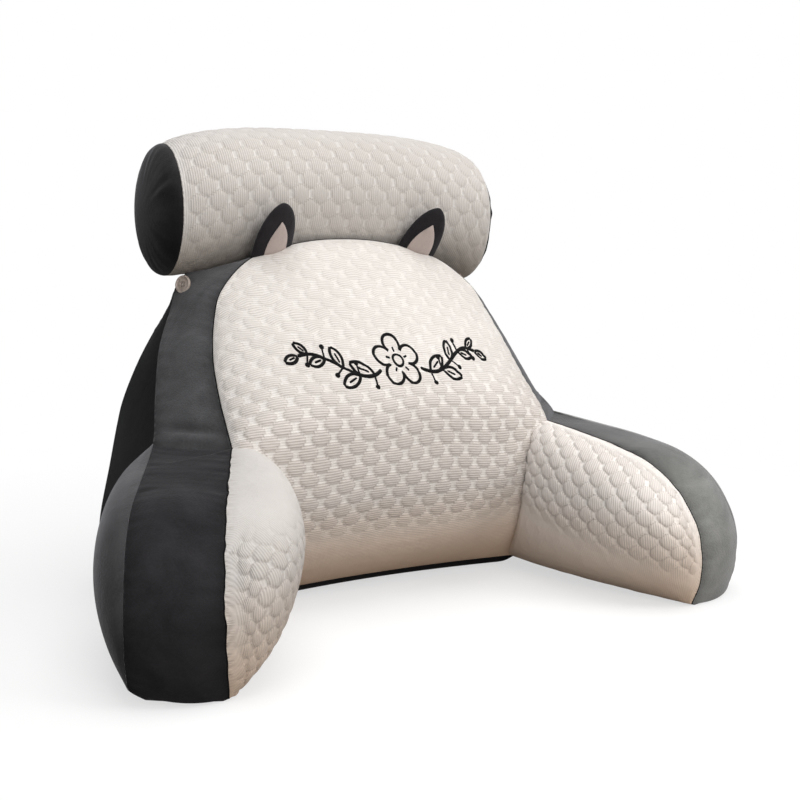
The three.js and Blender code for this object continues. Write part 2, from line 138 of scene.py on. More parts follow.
wedgeSeams = {name: wedgeSeam(name) for name in wedgeSeamRows}
waist = wedgeSeams["inner"](wedge["waistLevel"])
along = (waist - frontFoot) * [1, 1, 0]
along = along / np.linalg.norm(along)
outward = np.array([along[1], -along[0], 0])


# A seam of the right arm: foot + distance * along + width * outward + height * up.
def armSeam(name):
    column, width = (0, 0) if name == "inner" else (2, armRows[:, 4:5])
    points = (frontFoot + armRows[:, column:column + 1] * along + width * outward
              + armRows[:, column + 1:column + 2] * up)
    return rowCurve(points, len(points) - 1)


armSeams = {name: armSeam(name) for name in ("inner", "outer")}
armEnd = len(arm["rows"]) - 1


# Coons patch of four edges: both pairs blended across, less the blend of the four corners.
def coonsPatch(left, right, bottom, top):
    def at(s, t):
        s, t = np.broadcast_arrays(np.asarray(s, float), np.asarray(t, float))
        a, b = s[..., None], t[..., None]
        zero, one = np.zeros(1), np.ones(1)
        corners = ((1 - a) * (1 - b) * left(zero)[0] + a * (1 - b) * right(zero)[0]
                   + (1 - a) * b * left(one)[0] + a * b * right(one)[0])
        return (1 - b) * bottom(s) + b * top(s) + (1 - a) * left(t) + a * right(t) - corners

    return at


# The surface that spans one loop of wedge seams, s across and t from the base edge to the arch.
def wedgePatch(name):
    seam = wedgeSeams[name]
    shoulder = wedge["shoulderLevel"]
    corner = seam(0)
    bow = wedge["baseBow"][name] * millimetre

    def bottom(s):
        w = 2 * s - 1
        return np.stack([w * corner[0], corner[1] + bow * (1 - w**2), corner[2] + 0 * w], -1)

    def top(s):
        w = (2 * s - 1)[..., None]
        points = seam(topLevel - (topLevel - shoulder) * np.abs(w[..., 0]))
        return points * np.concatenate([np.sign(w), w * 0 + 1, w * 0 + 1], -1)

    return coonsPatch(lambda t: seam(t * shoulder) * [-1, 1, 1], lambda t: seam(t * shoulder), bottom, top)


# The surface that spans one seam of the right arm, closed at the rear by the wedge's own seam.
def armPatch(name):
    seam, joint = armSeams[name], wedgeSeams[name]
    waistLevel = wedge["waistLevel"]
    step = seam(armEnd) - joint(waistLevel)
    foot, heel = seam(0), joint(0)
    return coonsPatch(
        lambda t: seam(t * arm["shoulder"]),
        lambda t: joint(t * waistLevel) + t[..., None] * step,
        lambda s: foot + s[..., None] * (heel - foot),
        lambda s: seam(arm["shoulder"] + s * (armEnd - arm["shoulder"])),
    )


# The same patch with its last share of s running straight on past the rear edge.
def tailed(patch):
    share = arm["tailShare"]

    def at(s, t):
        beyond = np.maximum(s - (1 - share), 0) / share
        return patch(np.minimum(s / (1 - share), 1), t) + (beyond * arm["tail"])[..., None] * along

    return at


def offset(patch, shift):
    return lambda s, t: patch(s, t) + shift


def unit(vectors):
    return vectors / np.maximum(np.linalg.norm(vectors, axis=-1, keepdims=True), 1e-12)


# A patch raised along its normal by height * ((1 - u^2)(1 - v^2))^fullness * (1 + skew * v), with u
# and v from -1 to 1. The normal comes from points as far away as reach and dips no more than
# lowestSlope.
def crowned(patch, height, fullness, side, skew=0, lowestSlope=-1, reach=1 / 12):
    def at(s, t):
        s, t = np.broadcast_arrays(np.asarray(s, float), np.asarray(t, float))
        across = patch(np.minimum(s + reach, 1), t) - patch(np.maximum(s - reach, 0), t)
        upwards = patch(s, np.minimum(t + reach, 1)) - patch(s, np.maximum(t - reach, 0))
        normal = unit(np.cross(across, upwards)) * side
        normal[..., 2] = np.maximum(normal[..., 2], lowestSlope)
        u, v = 2 * s - 1, 2 * t - 1
        arch = np.maximum((1 - u**2) * (1 - v**2), 0)
        rise = height * arch**fullness * (1 + skew * v)
        return patch(s, t) + unit(normal) * rise[..., None]

    return at


# How far a hand-sewn seam strays from its line.
stray = {
    "amount": 0.9 * millimetre,
    "wavelength": 70 * millimetre,
    "reach": 9 * millimetre,  # into the panel
    "panel": (260 * millimetre, 190 * millimetre),  # an arm's inner panel, across and up
    "seed": 17,
}


# A patch of the arm sewn by hand: near its rim it strays sideways, by the place along the rim on the
# flat patch, so that the pieces on both sides of the seam stray together.
def armSewn(patch):
    def at(s, t):
        s, t = np.broadcast_arrays(np.asarray(s, float), np.asarray(t, float))
        width, height = stray["panel"]
        inside = np.minimum(np.minimum(s, 1 - s) * width, np.minimum(t, 1 - t) * height)
        place = armInnerPatch(s, t) @ (along + up)
        amount = stray["amount"] * wander(place, stray["wavelength"], stray["seed"])
        return patch(s, t) + (amount * np.exp(-(inside / stray["reach"])**2))[..., None] * outward

    return at


innerPatch, outerPatch, backPatch = (wedgePatch(name) for name in ("inner", "outer", "back"))
armInnerPatch, armOuterPatch = armPatch("inner"), armPatch("outer")


# A step from 0 at low to 1 at high, level at both: w^2 (3 - 2 w).
def smooth(x, low, high):
    w = np.clip((x - low) / (high - low), 0, 1)
    return w * w * (3 - 2 * w)


# count + 1 parameters from 0 to 1, crowded a little towards both ends where a panel curves most.
def spread(count, crowding=0.3):
    x = np.linspace(0, 1, count + 1)
    return (1 - crowding) * x + crowding * (1 - np.cos(np.pi * x)) / 2


# The loop of (s, t) round a grid: base edge, right side, top edge, left side, back to the start.
def rimLoop(s, t):
    on, rise, back, down = s[:-1], t[:-1], s[:0:-1], t[:0:-1]
    sides = [(on, 0 * on), (0 * rise + 1, rise), (back, 0 * back + 1), (0 * down, down)]
    loop = np.concatenate([np.stack(side, -1) for side in sides])
    return np.vstack([loop, loop[:1]])


# A lid over a patch: copies of its rim loop that shrink to the middle in equal steps.
def lid(patch, s, t, rings=8):
    loop = rimLoop(s, t)
    shrink = np.linspace(1, 0, rings + 1)[:, None, None]
    place = 0.5 + (loop - 0.5) * shrink
    return patch(place[..., 0], place[..., 1])


# A flat end: copies of a ring that shrink to its middle in equal steps.
def closing(ring, middle, steps):
    return {"points": middle + (ring - middle) * np.linspace(1, 0, steps + 1)[:, None, None]}


# The length along a line up to each of its points.
def runAlong(line):
    return np.concatenate([[0], np.cumsum(np.linalg.norm(np.diff(line, axis=0), axis=-1))])


# Unit normals of a grid of points, from the steps across and up.
def gridNormals(points):
    return unit(np.cross(np.gradient(points, axis=1), np.gradient(points, axis=0)))


# The cloth's own flat coordinates: a flat copy of the panel's base, laid on two axes and start times as
# large, whose grid links pull and push each other until they have their lengths on the filled panel.
def flattened(patch, base, across, upwards, start, size=28, rounds=1200):
    steps = np.linspace(0, 1, size)
    points = patch(steps[None, :], steps[:, None]).reshape(-1, 3)
    number = np.arange(size * size).reshape(size, size)
    links = np.concatenate([
        np.stack([number[:, :-1].ravel(), number[:, 1:].ravel()], -1),
        np.stack([number[:-1].ravel(), number[1:].ravel()], -1),
        np.stack([number[:-1, :-1].ravel(), number[1:, 1:].ravel()], -1),
        np.stack([number[:-1, 1:].ravel(), number[1:, :-1].ravel()], -1),
    ])
    a, b = links.T
    length = np.linalg.norm(points[b] - points[a], axis=-1)
    count = np.bincount(links.ravel(), minlength=len(points))[:, None]
    level = base(steps[None, :], steps[:, None]).reshape(-1, 3)
    flat = np.stack([level @ across, level @ upwards], -1)
    flat = flat.mean(0) + (flat - flat.mean(0)) * start
    for _ in range(rounds):
        link = flat[b] - flat[a]
        now = np.maximum(np.linalg.norm(link, axis=-1), 1e-9)
        pull = link * ((now - length) / now)[:, None]
        moved = [np.bincount(a, pull[:, k], len(points)) - np.bincount(b, pull[:, k], len(points))
                 for k in range(2)]
        flat = flat + np.stack(moved, -1) / count
    flat = flat.reshape(size, size, 2)

    def at(s, t):
        rows = rowCurve(flat, size - 1)(t * (size - 1))
        columns = rowCurve(np.swapaxes(rows, 0, 1), size - 1)(s * (size - 1))
        return np.swapaxes(columns, 0, 1)

    return at


# A round tube along a line, closed to a point at both ends; no stretch of it may run along reference.
def tube(points, radius, reference, sides=8):
    points = np.vstack([points[:1], points, points[-1:]])
    tangent = unit(np.gradient(points, axis=0))
    side = unit(np.cross(tangent, reference))
    other = np.cross(tangent, side)
    angle = np.linspace(0, 2 * np.pi, sides + 1)
    ring = side[:, None] * np.cos(angle)[None, :, None] + other[:, None] * np.sin(angle)[None, :, None]
    taper = np.ones(len(points))
    taper[[0, -1]] = 0
    return points[:, None] + ring * (radius * taper)[:, None, None]


# One closed mesh from sheets of points that share their rims: each grid's neighbours, four by four,
# make its faces. A sheet may carry cloth coordinates and a presence from 0 at its seams to 1 away from
# them. Doubled corners are merged and the faces turned outwards.
def sewn(name, sheets, sharpAngle=50):
    corners, cloth, presence, quads = [], [], [], []
    start = 0
    for sheet in sheets:
        rows, columns = sheet["points"].shape[:2]
        number = start + np.arange(rows * columns).reshape(rows, columns)
        quad = [number[:-1, :-1], number[:-1, 1:], number[1:, 1:], number[1:, :-1]]
        quads.append(np.stack([corner.ravel() for corner in quad], -1))
        corners.append(sheet["points"].reshape(-1, 3))
        cloth.append(sheet.get("cloth", np.zeros((rows, columns, 2))).reshape(-1, 2))
        presence.append(sheet.get("presence", np.ones((rows, columns))).ravel())
        start += rows * columns
    corners, cloth, presence, quads = (np.concatenate(part) for part in (corners, cloth, presence, quads))
    mesh = bpy.data.meshes.new(name)
    mesh.vertices.add(len(corners))
    mesh.vertices.foreach_set("co", corners.ravel())
    mesh.loops.add(quads.size)
    mesh.loops.foreach_set("vertex_index", quads.ravel())
    mesh.polygons.add(len(quads))
    mesh.polygons.foreach_set("loop_start", np.arange(0, quads.size, 4))
    mesh.update(calc_edges=True)
    mesh.uv_layers.new(name="cloth").data.foreach_set("uv", cloth[quads.ravel()].ravel())
    mesh.attributes.new("presence", "FLOAT", "POINT").data.foreach_set("value", presence)
    work = bmesh.new()
    work.from_mesh(mesh)
    bmesh.ops.remove_doubles(work, verts=work.verts, dist=0.02 * millimetre)
    bmesh.ops.recalc_face_normals(work, faces=work.faces)
    work.to_mesh(mesh)
    work.free()
    mesh.polygons.foreach_set("use_smooth", np.ones(len(mesh.polygons), bool))
    mesh.set_sharp_from_angle(angle=math.radians(sharpAngle))
    made = bpy.data.objects.new(name, mesh)
    bpy.context.scene.collection.objects.link(made)
    return made


def mirroredSheets(sheets):
    return [{**sheet, "points": sheet["points"] * [-1, 1, 1]} for sheet in sheets]


# How the foot of each arm has settled: its outer corner lifts and its sides spread, less and less
# upwards and to the rear.
foot = {
    "lift": {"right": 0, "left": 9 * millimetre},
    "outwards": {"right": 14 * millimetre, "left": 0},
    "inwards": {"right": 0, "left": 2.5 * millimetre},
    "upTo": (15 * millimetre, 120 * millimetre),
    "rearTo": (40 * millimetre, 160 * millimetre),
    "width": 92 * millimetre,
}


# The right arm's sheets as they lie on the given side, share running from 0 at the inner seams to 1 at
# the outer ones.
def settled(sheets, side):
    def moved(points):
        share = np.clip((points - frontFoot) @ outward / foot["width"], 0, 1)
        near = 1 - smooth((points - frontFoot) @ along, *foot["rearTo"])
        near = near * (1 - smooth(points[..., 2], *foot["upTo"]))
        sideways = (foot["outwards"][side] * share - foot["inwards"][side] * (1 - share)) * near
        lift = foot["lift"][side] * share * near
        return points + sideways[..., None] * outward + lift[..., None] * up

    made = [{**sheet, "points": moved(sheet["points"])} for sheet in sheets]
    return made if side == "right" else mirroredSheets(made)


# A finished piece: its cloth, the one body and the solids it stands for.
def dressed(piece, nodes, material):
    piece.data.materials.append(material)
    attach(piece, "root")
    if nodes:
        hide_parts(*nodes)


# Both sides of a paired piece from the sheets of the right one, with a material for right and left.
def dressedPair(name, nodes, sheets, materials):
    for side, material in zip(("right", "left"), materials):
        piece = sewn(f"{name}_{side}", settled(sheets, side))
        dressed(piece, [f"{node}_{side}" for node in nodes], material)


shadowLine = {"radius": 0.85 * millimetre, "steps": 160}


# A thin dark tube drawn into a patch's rim as painted shade, the seam's shadow line rather than a real cord:
# up the left side, over the top and, if it has three sides, down the right one.
def rimShadowLine(patch, sides, reference):
    w = np.linspace(0, 1, shadowLine["steps"])
    stretches = [(0 * w, w), (w, 0 * w + 1), (0 * w + 1, 1 - w)]
    path = np.concatenate([np.stack(stretch, -1)[1:] for stretch in stretches[:sides]])
    return [{"points": tube(patch(*path.T), shadowLine["radius"], reference)}]


# Distance from the nearest cell's middle, 1 at its edge. Cells are hexagons in staggered rows on two
# lattices half a step apart, with two flat sides along the ribs: n^p = x^p + (y + x / 2)^p, where x is
# the share of the half width across the ribs and y the share of the half length along them.
def cellReach(u, v, quilt):
    across, along = (u, v) if quilt["ribAxis"] == 0 else (v, u)
    (acrossStep, alongStep), (halfWidth, halfLength) = quilt["steps"], quilt["cell"]

    def nearest(shift):
        x = abs((across / acrossStep + shift) % 1 - 0.5) * (acrossStep / halfWidth)
        y = abs((along / alongStep + shift) % 1 - 0.5) * (alongStep / halfLength)
        return (x**quilt["corners"] + (y + x / 2)**quilt["corners"])**(1 / quilt["corners"])

    first, second = nearest(0), nearest(0.5)
    return (first + second - abs(first - second)) / 2


# Points raised along their normals by puffed cells, height * (1 - n^edge)^flatness * presence.
def quilted(points, cloth, side, quilt, presence):
    reach = cellReach(cloth[..., 0], cloth[..., 1], quilt)
    puff = np.maximum(1 - reach**quilt["edge"], 0)**quilt["flatness"] * presence
    return points + gridNormals(points) * side * (puff * quilt["height"])[..., None]


# Cloth coordinates that creep a little: two slow waves each way, so that no row of cells is dead
# straight.
def crept(cloth, creep):
    u, v = cloth[..., 0], cloth[..., 1]
    turn = 2 * np.pi / creep["wavelength"]
    du = np.sin(turn * (0.7 * u + v) + 1.0) + 0.5 * np.sin(turn * (2.3 * v - 0.9 * u) + 2.4)
    dv = np.sin(turn * (u - 0.6 * v) + 0.3) + 0.5 * np.sin(turn * (1.9 * u + 1.3 * v) + 4.0)
    return cloth + np.stack([du, dv], -1) * creep["amount"]


# How far a parameter pair lies inside its patch, as a fade from 0 at the rim to 1 beyond the margin.
def rimFade(s, t, marginAcross, marginUp):
    insideS = np.minimum(s, 1 - s)[None, :] / marginAcross
    insideT = np.minimum(t, 1 - t)[:, None] / marginUp
    return smooth(insideS, 0, 1) * smooth(insideT, 0, 1)


# A socket that takes part in arithmetic: each operator adds its Math node to the tree.
class Wire:
    def __init__(self, tree, socket=None):
        self.tree = tree
        self.socket = socket

    # Any node: its type, its settings, then the values or links of its sockets.
    def node(self, kind, settings=None, inputs=None, output=0):
        made = self.tree.nodes.new(kind)
        for name, value in (settings or {}).items():
            setattr(made, name, value)
        for name, value in (inputs or {}).items():
            if isinstance(value, Wire):
                self.tree.links.new(value.socket, made.inputs[name])
            else:
                made.inputs[name].default_value = value
        return Wire(self.tree, made.outputs[output])

    def math(self, operation, *values):
        return self.node("ShaderNodeMath", {"operation": operation}, dict(enumerate(values)))

    def __add__(self, other):
        return self.math("ADD", self, other)

    def __sub__(self, other):
        return self.math("SUBTRACT", self, other)

    def __rsub__(self, other):
        return self.math("SUBTRACT", other, self)

    def __mul__(self, other):
        return self.math("MULTIPLY", self, other)

    def __truediv__(self, other):
        return self.math("DIVIDE", self, other)

    def __mod__(self, other):
        return self.math("FLOORED_MODULO", self, other)

    def __abs__(self):
        return self.math("ABSOLUTE", self)

    def __pow__(self, other):
        return self.math("POWER", self, other)

    __radd__ = __add__
    __rmul__ = __mul__

    def sine(self):
        return self.math("SINE", self)

    # 0 at low, 1 at high, straight between and level beyond.
    def between(self, low, high):
        return self.node("ShaderNodeMapRange", {"clamp": True}, {0: self, 1: low, 2: high, 3: 0.0, 4: 1.0})

    # Colour a where this value is 0 and colour b where it is 1.
    def blend(self, a, b):
        return self.node("ShaderNodeMix", {"data_type": "RGBA"}, {0: self, 6: a, 7: b}, 2)

    # One part of this vector: 0, 1 or 2.
    def part(self, axis):
        return self.node("ShaderNodeSeparateXYZ", None, {0: self}, axis)

    # Noise over this vector.
    def noise(self, scale, detail, **more):
        inputs = {"Vector": self, "Scale": scale, "Detail": detail, **more}
        return self.node("ShaderNodeTexNoise", None, inputs)

    # A bump from this height.
    def bump(self, depth, strength=1.0):
        return self.node("ShaderNodeBump", None, {"Strength": strength, "Distance": depth, "Height": self})

    # The piece's own coordinates, its cloth's flat ones and how far a place is from the seams, 0 to 1.
    def shape(self):
        return self.node("ShaderNodeTexCoord", None, None, 3)

    def cloth(self):
        return self.node("ShaderNodeUVMap", {"uv_map": "cloth"})

    def presence(self):
        return self.node("ShaderNodeAttribute", {"attribute_name": "presence"}, None, 2)


# A written colour, 0 to 255 a channel, as the linear one that a shader takes.
def colour(red, green, blue):
    channels = np.array([red, green, blue]) / 255
    linear = np.where(channels <= 0.04045, channels / 12.92, ((channels + 0.055) / 1.055)**2.4)
    return (*linear.tolist(), 1.0)


# A linear colour made darker or lighter.
def toned(tone, factor):
    return (*(factor * part for part in tone[:3]), 1)


# A new material: its name and its principled shader's constants. A socket's spaces are written as _.
def newMaterial(name, **constants):
    material = bpy.data.materials.new(name)
    material.use_nodes = True
    shader = material.node_tree.nodes["Principled BSDF"]
    for socket, value in constants.items():
        shader.inputs[socket.replace("_", " ")].default_value = value
    return material, Wire(material.node_tree), shader


# Links to the sockets of a shader that vary over the surface.
def feed(shader, wire, **links):
    for socket, value in links.items():
        wire.tree.links.new(value.socket, shader.inputs[socket.replace("_", " ")])


quiltLook = {
    "pale": colour(228, 224, 220),  # the ground
    "cell": colour(209, 202, 197),  # the cells' tops, darker than the ground by painted shade of their ribs
    "grooveShade": colour(150, 138, 129),  # painted shade in the grooves, the ribs and along the cells' outlines
    "floorBounceShade": colour(222, 183, 146),  # painted shade with warm light bounced from the floor, low on the front panel
    "armBounceShade": colour(204, 172, 142),  # painted shade with warm bounce light, low on the arms
    "shaded": colour(165, 155, 144),  # under the bolster
    "ribDepth": 0.35 * millimetre,
    "groundRelief": 2.5,  # the ground's ribs in relief, for each share of them in the colour
    "inside": (0.9, 1.02),  # reach over which a cell ends
    "edge": (0.8, 0.97, 1.12),  # reach where a cell's outline of painted shade starts, is deepest and ends
    "clouds": {"scale": 14.0, "from": (0.35, 0.65), "amount": 0.07},
    "grain": {"scale": 900.0, "amount": 0.4},
    "pucker": {"scale": 55.0, "amount": 5.0},
}


# Ivory air-layer jacquard: pale ground, puffed cells with fine ribs, darker by painted shade, painted shade
# in the grooves and along a cell's edge, which steps from rib to rib, a lower tone towards the floor or the
# bolster's underside that is painted shade and warm bounce light, and a faint unevenness.
def quiltMaterial(name, quilt, low, lowHeights, tone):
    material, wire, shader = newMaterial(
        name, Roughness=0.9, Sheen_Weight=0.15, Sheen_Roughness=0.5, Specular_IOR_Level=0.25)
    place, presence, shape = wire.cloth(), wire.presence(), wire.shape()
    axes = [place.part(0), place.part(1)]
    ribs, pitch = axes[quilt["ribAxis"]], quilt["ribPitch"]
    axes[quilt["ribAxis"]] = ribs - ribs % pitch + pitch / 2
    reach = cellReach(*axes, quilt)
    starts, deepest, ends = quiltLook["edge"]
    inside = (1 - reach.between(*quiltLook["inside"])) * presence
    outline = reach.between(starts, deepest) * (1 - reach.between(deepest, ends)) * presence
    rib = (ribs * (2 * math.pi / pitch)).sine() * 0.5 + 0.5
    ribbed = inside + (1 - presence) * quilt["plainRib"]

    clouds, grain, pucker = (quiltLook[key] for key in ("clouds", "grain", "pucker"))
    pale, cell, grooveShade = (toned(quiltLook[key], tone) for key in ("pale", "cell", "grooveShade"))
    # The cells are darker than the ground: painted shade of their ribs.
    checked = (inside * presence * quilt["contrast"]).blend(pale, cell)
    shadedLow = shape.part(2).between(*lowHeights).blend(low, checked)
    ground = quilt["groundRib"]
    # Painted shade: the cells' outlines and the ribs' grooves, with a faint cloudy unevenness of the cloth's
    # own tone.
    shade = outline * quilt["outline"] + (1 - rib) * (ribbed * (quilt["cellRib"] - ground) + ground) \
        + shape.noise(clouds["scale"], 3.0).between(*clouds["from"]) * clouds["amount"]

    raised = quiltLook["groundRelief"] * ground
    relief = rib * (ribbed * (1 - raised) + raised) + inside * quilt["step"] \
        + shape.noise(grain["scale"], 2.0) * grain["amount"] \
        + shape.noise(pucker["scale"], 3.0) * (1 - inside) * pucker["amount"]
    feed(shader, wire, Base_Color=shade.blend(shadedLow, grooveShade), Normal=relief.bump(quiltLook["ribDepth"]))
    return material


plushLook = {
    "nap": {"size": 2 * millimetre, "depth": 0.5 * millimetre, "amount": 0.5},
    "strokes": {"scale": 18.0, "roughness": 0.62, "swirl": 0.6, "from": (0.3, 0.72), "amount": 0.7,
                "relief": 2.0},
    "dimmed": 0.1,  # share of the lit tone that is always lost
    "fold": 9 * millimetre,  # width of the painted shade along a seam
    # black of the seams, and the colour that the painted shade darkens towards
    "seam": colour(14, 13, 14),
    "seamShade": 0.5,
    "sheenTint": (0.9, 0.9, 0.95, 1),
}


# Short plush: a fine nap, larger clouds where it is brushed one way or the other, painted shade that darkens
# it towards black along the seams, and painted shade darker by depth from the second height towards the
# first.
def plushMaterial(name, dark, lit, sheen, heights=(0.0, 0.22), depth=0.45):
    material, wire, shader = newMaterial(
        name, Roughness=0.95, Sheen_Weight=sheen, Sheen_Roughness=0.4, Specular_IOR_Level=0.15,
        Sheen_Tint=plushLook["sheenTint"])
    shape, strokes, nap = wire.shape(), plushLook["strokes"], plushLook["nap"]
    brushed = shape.noise(strokes["scale"], 4.0, Roughness=strokes["roughness"], Distortion=strokes["swirl"])
    fine = shape.noise(1 / nap["size"], 3.0)
    amount = brushed.between(*strokes["from"]) * strokes["amount"] + fine * nap["amount"] \
        - plushLook["dimmed"]
    # Painted shade: by depth below the second height, and near the seams.
    shade = (1 - shape.part(2).between(*heights)) * depth + (1 - wire.presence()) * plushLook["seamShade"]
    tinted = shade.blend(amount.blend(dark, lit), plushLook["seam"])
    feed(shader, wire, Base_Color=tinted, Normal=(fine + brushed * strokes["relief"]).bump(nap["depth"]))
    return material


# Painted shade in each plush: darker by its depth below its second height, and along its seams.
charcoalPlush = plushMaterial(
    "charcoal_plush_cloth", colour(60, 60, 62), colour(100, 101, 103), 0.35, (0.05, 0.34), 0.75)
shadedPlush = plushMaterial("shaded_plush_cloth", colour(28, 28, 30), colour(54, 53, 56), 0.12)
litPlush = plushMaterial("lit_plush_cloth", colour(108, 109, 107), colour(148, 149, 146), 0.45)
# A lit copy of the charcoal plush for the right arm's band: painted light, darker upwards from 0.145 m to
# 0.19 m as painted shade.
litBandPlush = plushMaterial(
    "lit_band_plush_cloth", colour(104, 105, 103), colour(146, 147, 144), 0.4, (0.19, 0.145), 0.42)
blackPlush = plushMaterial("black_plush_cloth", colour(7, 7, 8), colour(20, 20, 21), 0.04)
# The ends darken downwards from 0.56 m to 0.43 m: painted shade.
endPlush = plushMaterial("end_plush_cloth", colour(28, 27, 28), colour(60, 59, 60), 0.2, (0.43, 0.56), 0.95)
leafSuede = plushMaterial("leaf_suede", colour(176, 162, 157), colour(196, 184, 178), 0.1)
earPlush = plushMaterial("ear_plush_cloth", colour(22, 21, 23), colour(48, 46, 49), 0.15)


# Moulded shell plastic: cloudy beige with a fine grain.
def shellMaterial(name, dark, lit):
    material, wire, shader = newMaterial(name, Roughness=0.38, Coat_Weight=0.15)
    cloudy = wire.shape().noise(260.0, 3.0)
    tinted = cloudy.between(0.3, 0.7).blend(dark, lit)
    feed(shader, wire, Base_Color=tinted, Normal=cloudy.bump(0.1 * millimetre, 0.5))
    return material


# Twisted cotton: a fine slanting wave over a plain tone.
def threadMaterial(name, dark, lit, pitch):
    material, wire, shader = newMaterial(name, Roughness=0.7, Sheen_Weight=0.2)
    wave = {"Vector": wire.shape(), "Scale": 1 / pitch, "Distortion": 1.0}
    twist = wire.node("ShaderNodeTexWave", None, wave)
    feed(shader, wire, Base_Color=twist.blend(dark, lit), Normal=twist.bump(0.15 * millimetre, 0.6))
    return material


# Satin stitch: threads side by side across the line, a sine along the line's own length.
def satinMaterial(name, dark, lit, pitch):
    material, wire, shader = newMaterial(name, Roughness=0.75, Specular_IOR_Level=0.15)
    thread = (wire.cloth().part(0) * (2 * math.pi / pitch)).sine() * 0.5 + 0.5
    feed(shader, wire, Base_Color=thread.blend(dark, lit), Normal=thread.bump(0.2 * millimetre))
    return material


shellPlastic = shellMaterial("shell_plastic", colour(150, 137, 128), colour(196, 184, 175))
threadCotton = threadMaterial("thread_cotton", colour(190, 180, 170), colour(236, 230, 222), 2 * millimetre)
satin = satinMaterial("black_satin_stitch", colour(4, 4, 4), colour(17, 16, 17), 0.7 * millimetre)
print("materials made")

panel = {
    "crown": 46 * millimetre,
    "fullness": 0.72,
    "lowestSlope": -0.15,
    "across": 270,  # grid cells
    "up": 315,
    "lean": (0, 0.4, 1),  # the cloth's own way up
    "start": 1.1,  # size at which the flat cloth starts, in sizes of the panel's base
    "margin": (0.025, 0.02),  # shares of the panel, across and up, over which the cells fade out
    "plainBelow": (78 * millimetre, 118 * millimetre),  # heights between which the cells come in
    "quilt": {"ribAxis": 1, "ribPitch": 3 * millimetre, "steps": (30 * millimetre, 30 * millimetre),
              "cell": (9.4 * millimetre, 12.8 * millimetre), "corners": 7, "edge": 4, "flatness": 0.6,
              "height": 1.9 * millimetre, "step": 1.3, "outline": 0.2,
              "groundRib": 0.2, "cellRib": 0.42, "plainRib": 0.35, "contrast": 0.74},
    "creep": {"wavelength": 260 * millimetre, "amount": 1.8 * millimetre},
    "calm": 0.5,  # share of the cells' height lost towards the top
    "rumple": {"wavelength": 62 * millimetre, "amount": 2 * millimetre, "above": 330 * millimetre},
    "fill": 0.7,
}
# The front panel darkens towards the floor below 0.14 m: painted shade with warm bounce light.
wedgeQuilt = quiltMaterial("wedge_quilt", panel["quilt"], quiltLook["floorBounceShade"], (0.0, 0.14), 1.0)


# A crowned pad whose cells come in above its plain foot, lie in rows up to the waist and rumple and
# flatten above it.
def frontPanel():
    rear = offset(innerPatch, np.array([0, -gap, 0]))
    front = crowned(rear, panel["crown"], panel["fullness"], 1, lowestSlope=panel["lowestSlope"])
    s, t = spread(panel["across"]), spread(panel["up"])
    points = front(s[None, :], t[:, None])
    height, rumple = points[..., 2], panel["rumple"]
    flat = flattened(front, rear, rightwards, unit(np.array(panel["lean"])), panel["start"])
    cloth = crept(flat(s, t), panel["creep"])
    rumpled = smooth(height, rumple["above"] - rumple["wavelength"], rumple["above"])[..., None]
    cloth = cloth * (1 - rumpled) + crept(cloth, rumple) * rumpled
    calm = 1 - panel["calm"] * smooth(height, waist[2] + 2 * panel["creep"]["amount"], rumple["above"])
    presence = rimFade(s, t, *panel["margin"]) * smooth(height, *panel["plainBelow"]) * calm
    points = quilted(points, cloth, 1, panel["quilt"], presence)
    sheets = [{"points": points, "cloth": cloth, "presence": presence}, {"points": lid(rear, s, t)}]
    dressed(sewn("frontPanel", sheets), ["front_panel"], wedgeQuilt)
    return front, s, t, points


panelFace, panelS, panelT, panelPoints = frontPanel()
panelNormals = gridNormals(panelPoints)
print("front panel sewn")

# One garland in satin stitch: a flower in the middle and a leafy branch to each side. Lengths in
# millimetres from the flower's middle, x across and y up.
garland = {
    "height": 300 * millimetre,  # of the flower's middle above the floor
    "petals": {"count": 5, "radius": (13, 30), "power": 0.55, "turn": 18, "width": 3.6},
    "eye": {"radius": 6.5, "width": 2.9},
    "stamens": {"reach": (9.5, 15.5), "width": 2.3},
    "branches": [
        {"stem": [(27, -9), (62, -34), (92, 26), (124, 4)], "leaves": 5, "side": 1},
        {"stem": [(-27, -9), (-60, -36), (-88, 22), (-122, 8)], "leaves": 5, "side": -1},
    ],
    "stemWidth": 4,
    "leaf": {"length": (30, 18), "angle": 44, "width": 3.5, "bow": ((0.35, 0.34), (0.75, 0.272)),
             "rib": (0.22, 0.68), "ribWidth": 2.2},  # bow and rib in shares of the leaf's length
    "leafAt": (12, 76),  # hundredths of the stem: the first leaf's place and the way to the last one
    "berry": {"offset": 13, "width": 3, "turn": 1.6},  # turned against its leaf
    "stitch": 1.1,  # step along a line
    "rise": 1.1 * millimetre,
    "sunk": 0.8 * millimetre,
    "across": 9,
}
panelSearch = {
    "size": (420 * millimetre, 450 * millimetre),  # about, for the first guess
    "rounds": 7,
    "step": 0.001,
    "within": (0.02, 0.98),
}


# Parameters of the panel's points at given x and z: Newton's steps from a straight guess.
def panelPlace(x, z):
    across, tall = panelSearch["size"]
    s, t = 0.5 + x / across, z / tall
    step, within = panelSearch["step"], panelSearch["within"]
    for _ in range(panelSearch["rounds"]):
        here = panelFace(s, t)[..., ::2]
        ds = (panelFace(s + step, t)[..., ::2] - here) / step
        dt = (panelFace(s, t + step)[..., ::2] - here) / step
        miss = np.stack([x, z], -1) - here
        area = ds[..., 0] * dt[..., 1] - ds[..., 1] * dt[..., 0]
        s = np.clip(s + (miss[..., 0] * dt[..., 1] - miss[..., 1] * dt[..., 0]) / area, *within)
        t = np.clip(t + (ds[..., 0] * miss[..., 1] - ds[..., 1] * miss[..., 0]) / area, *within)
    return s, t


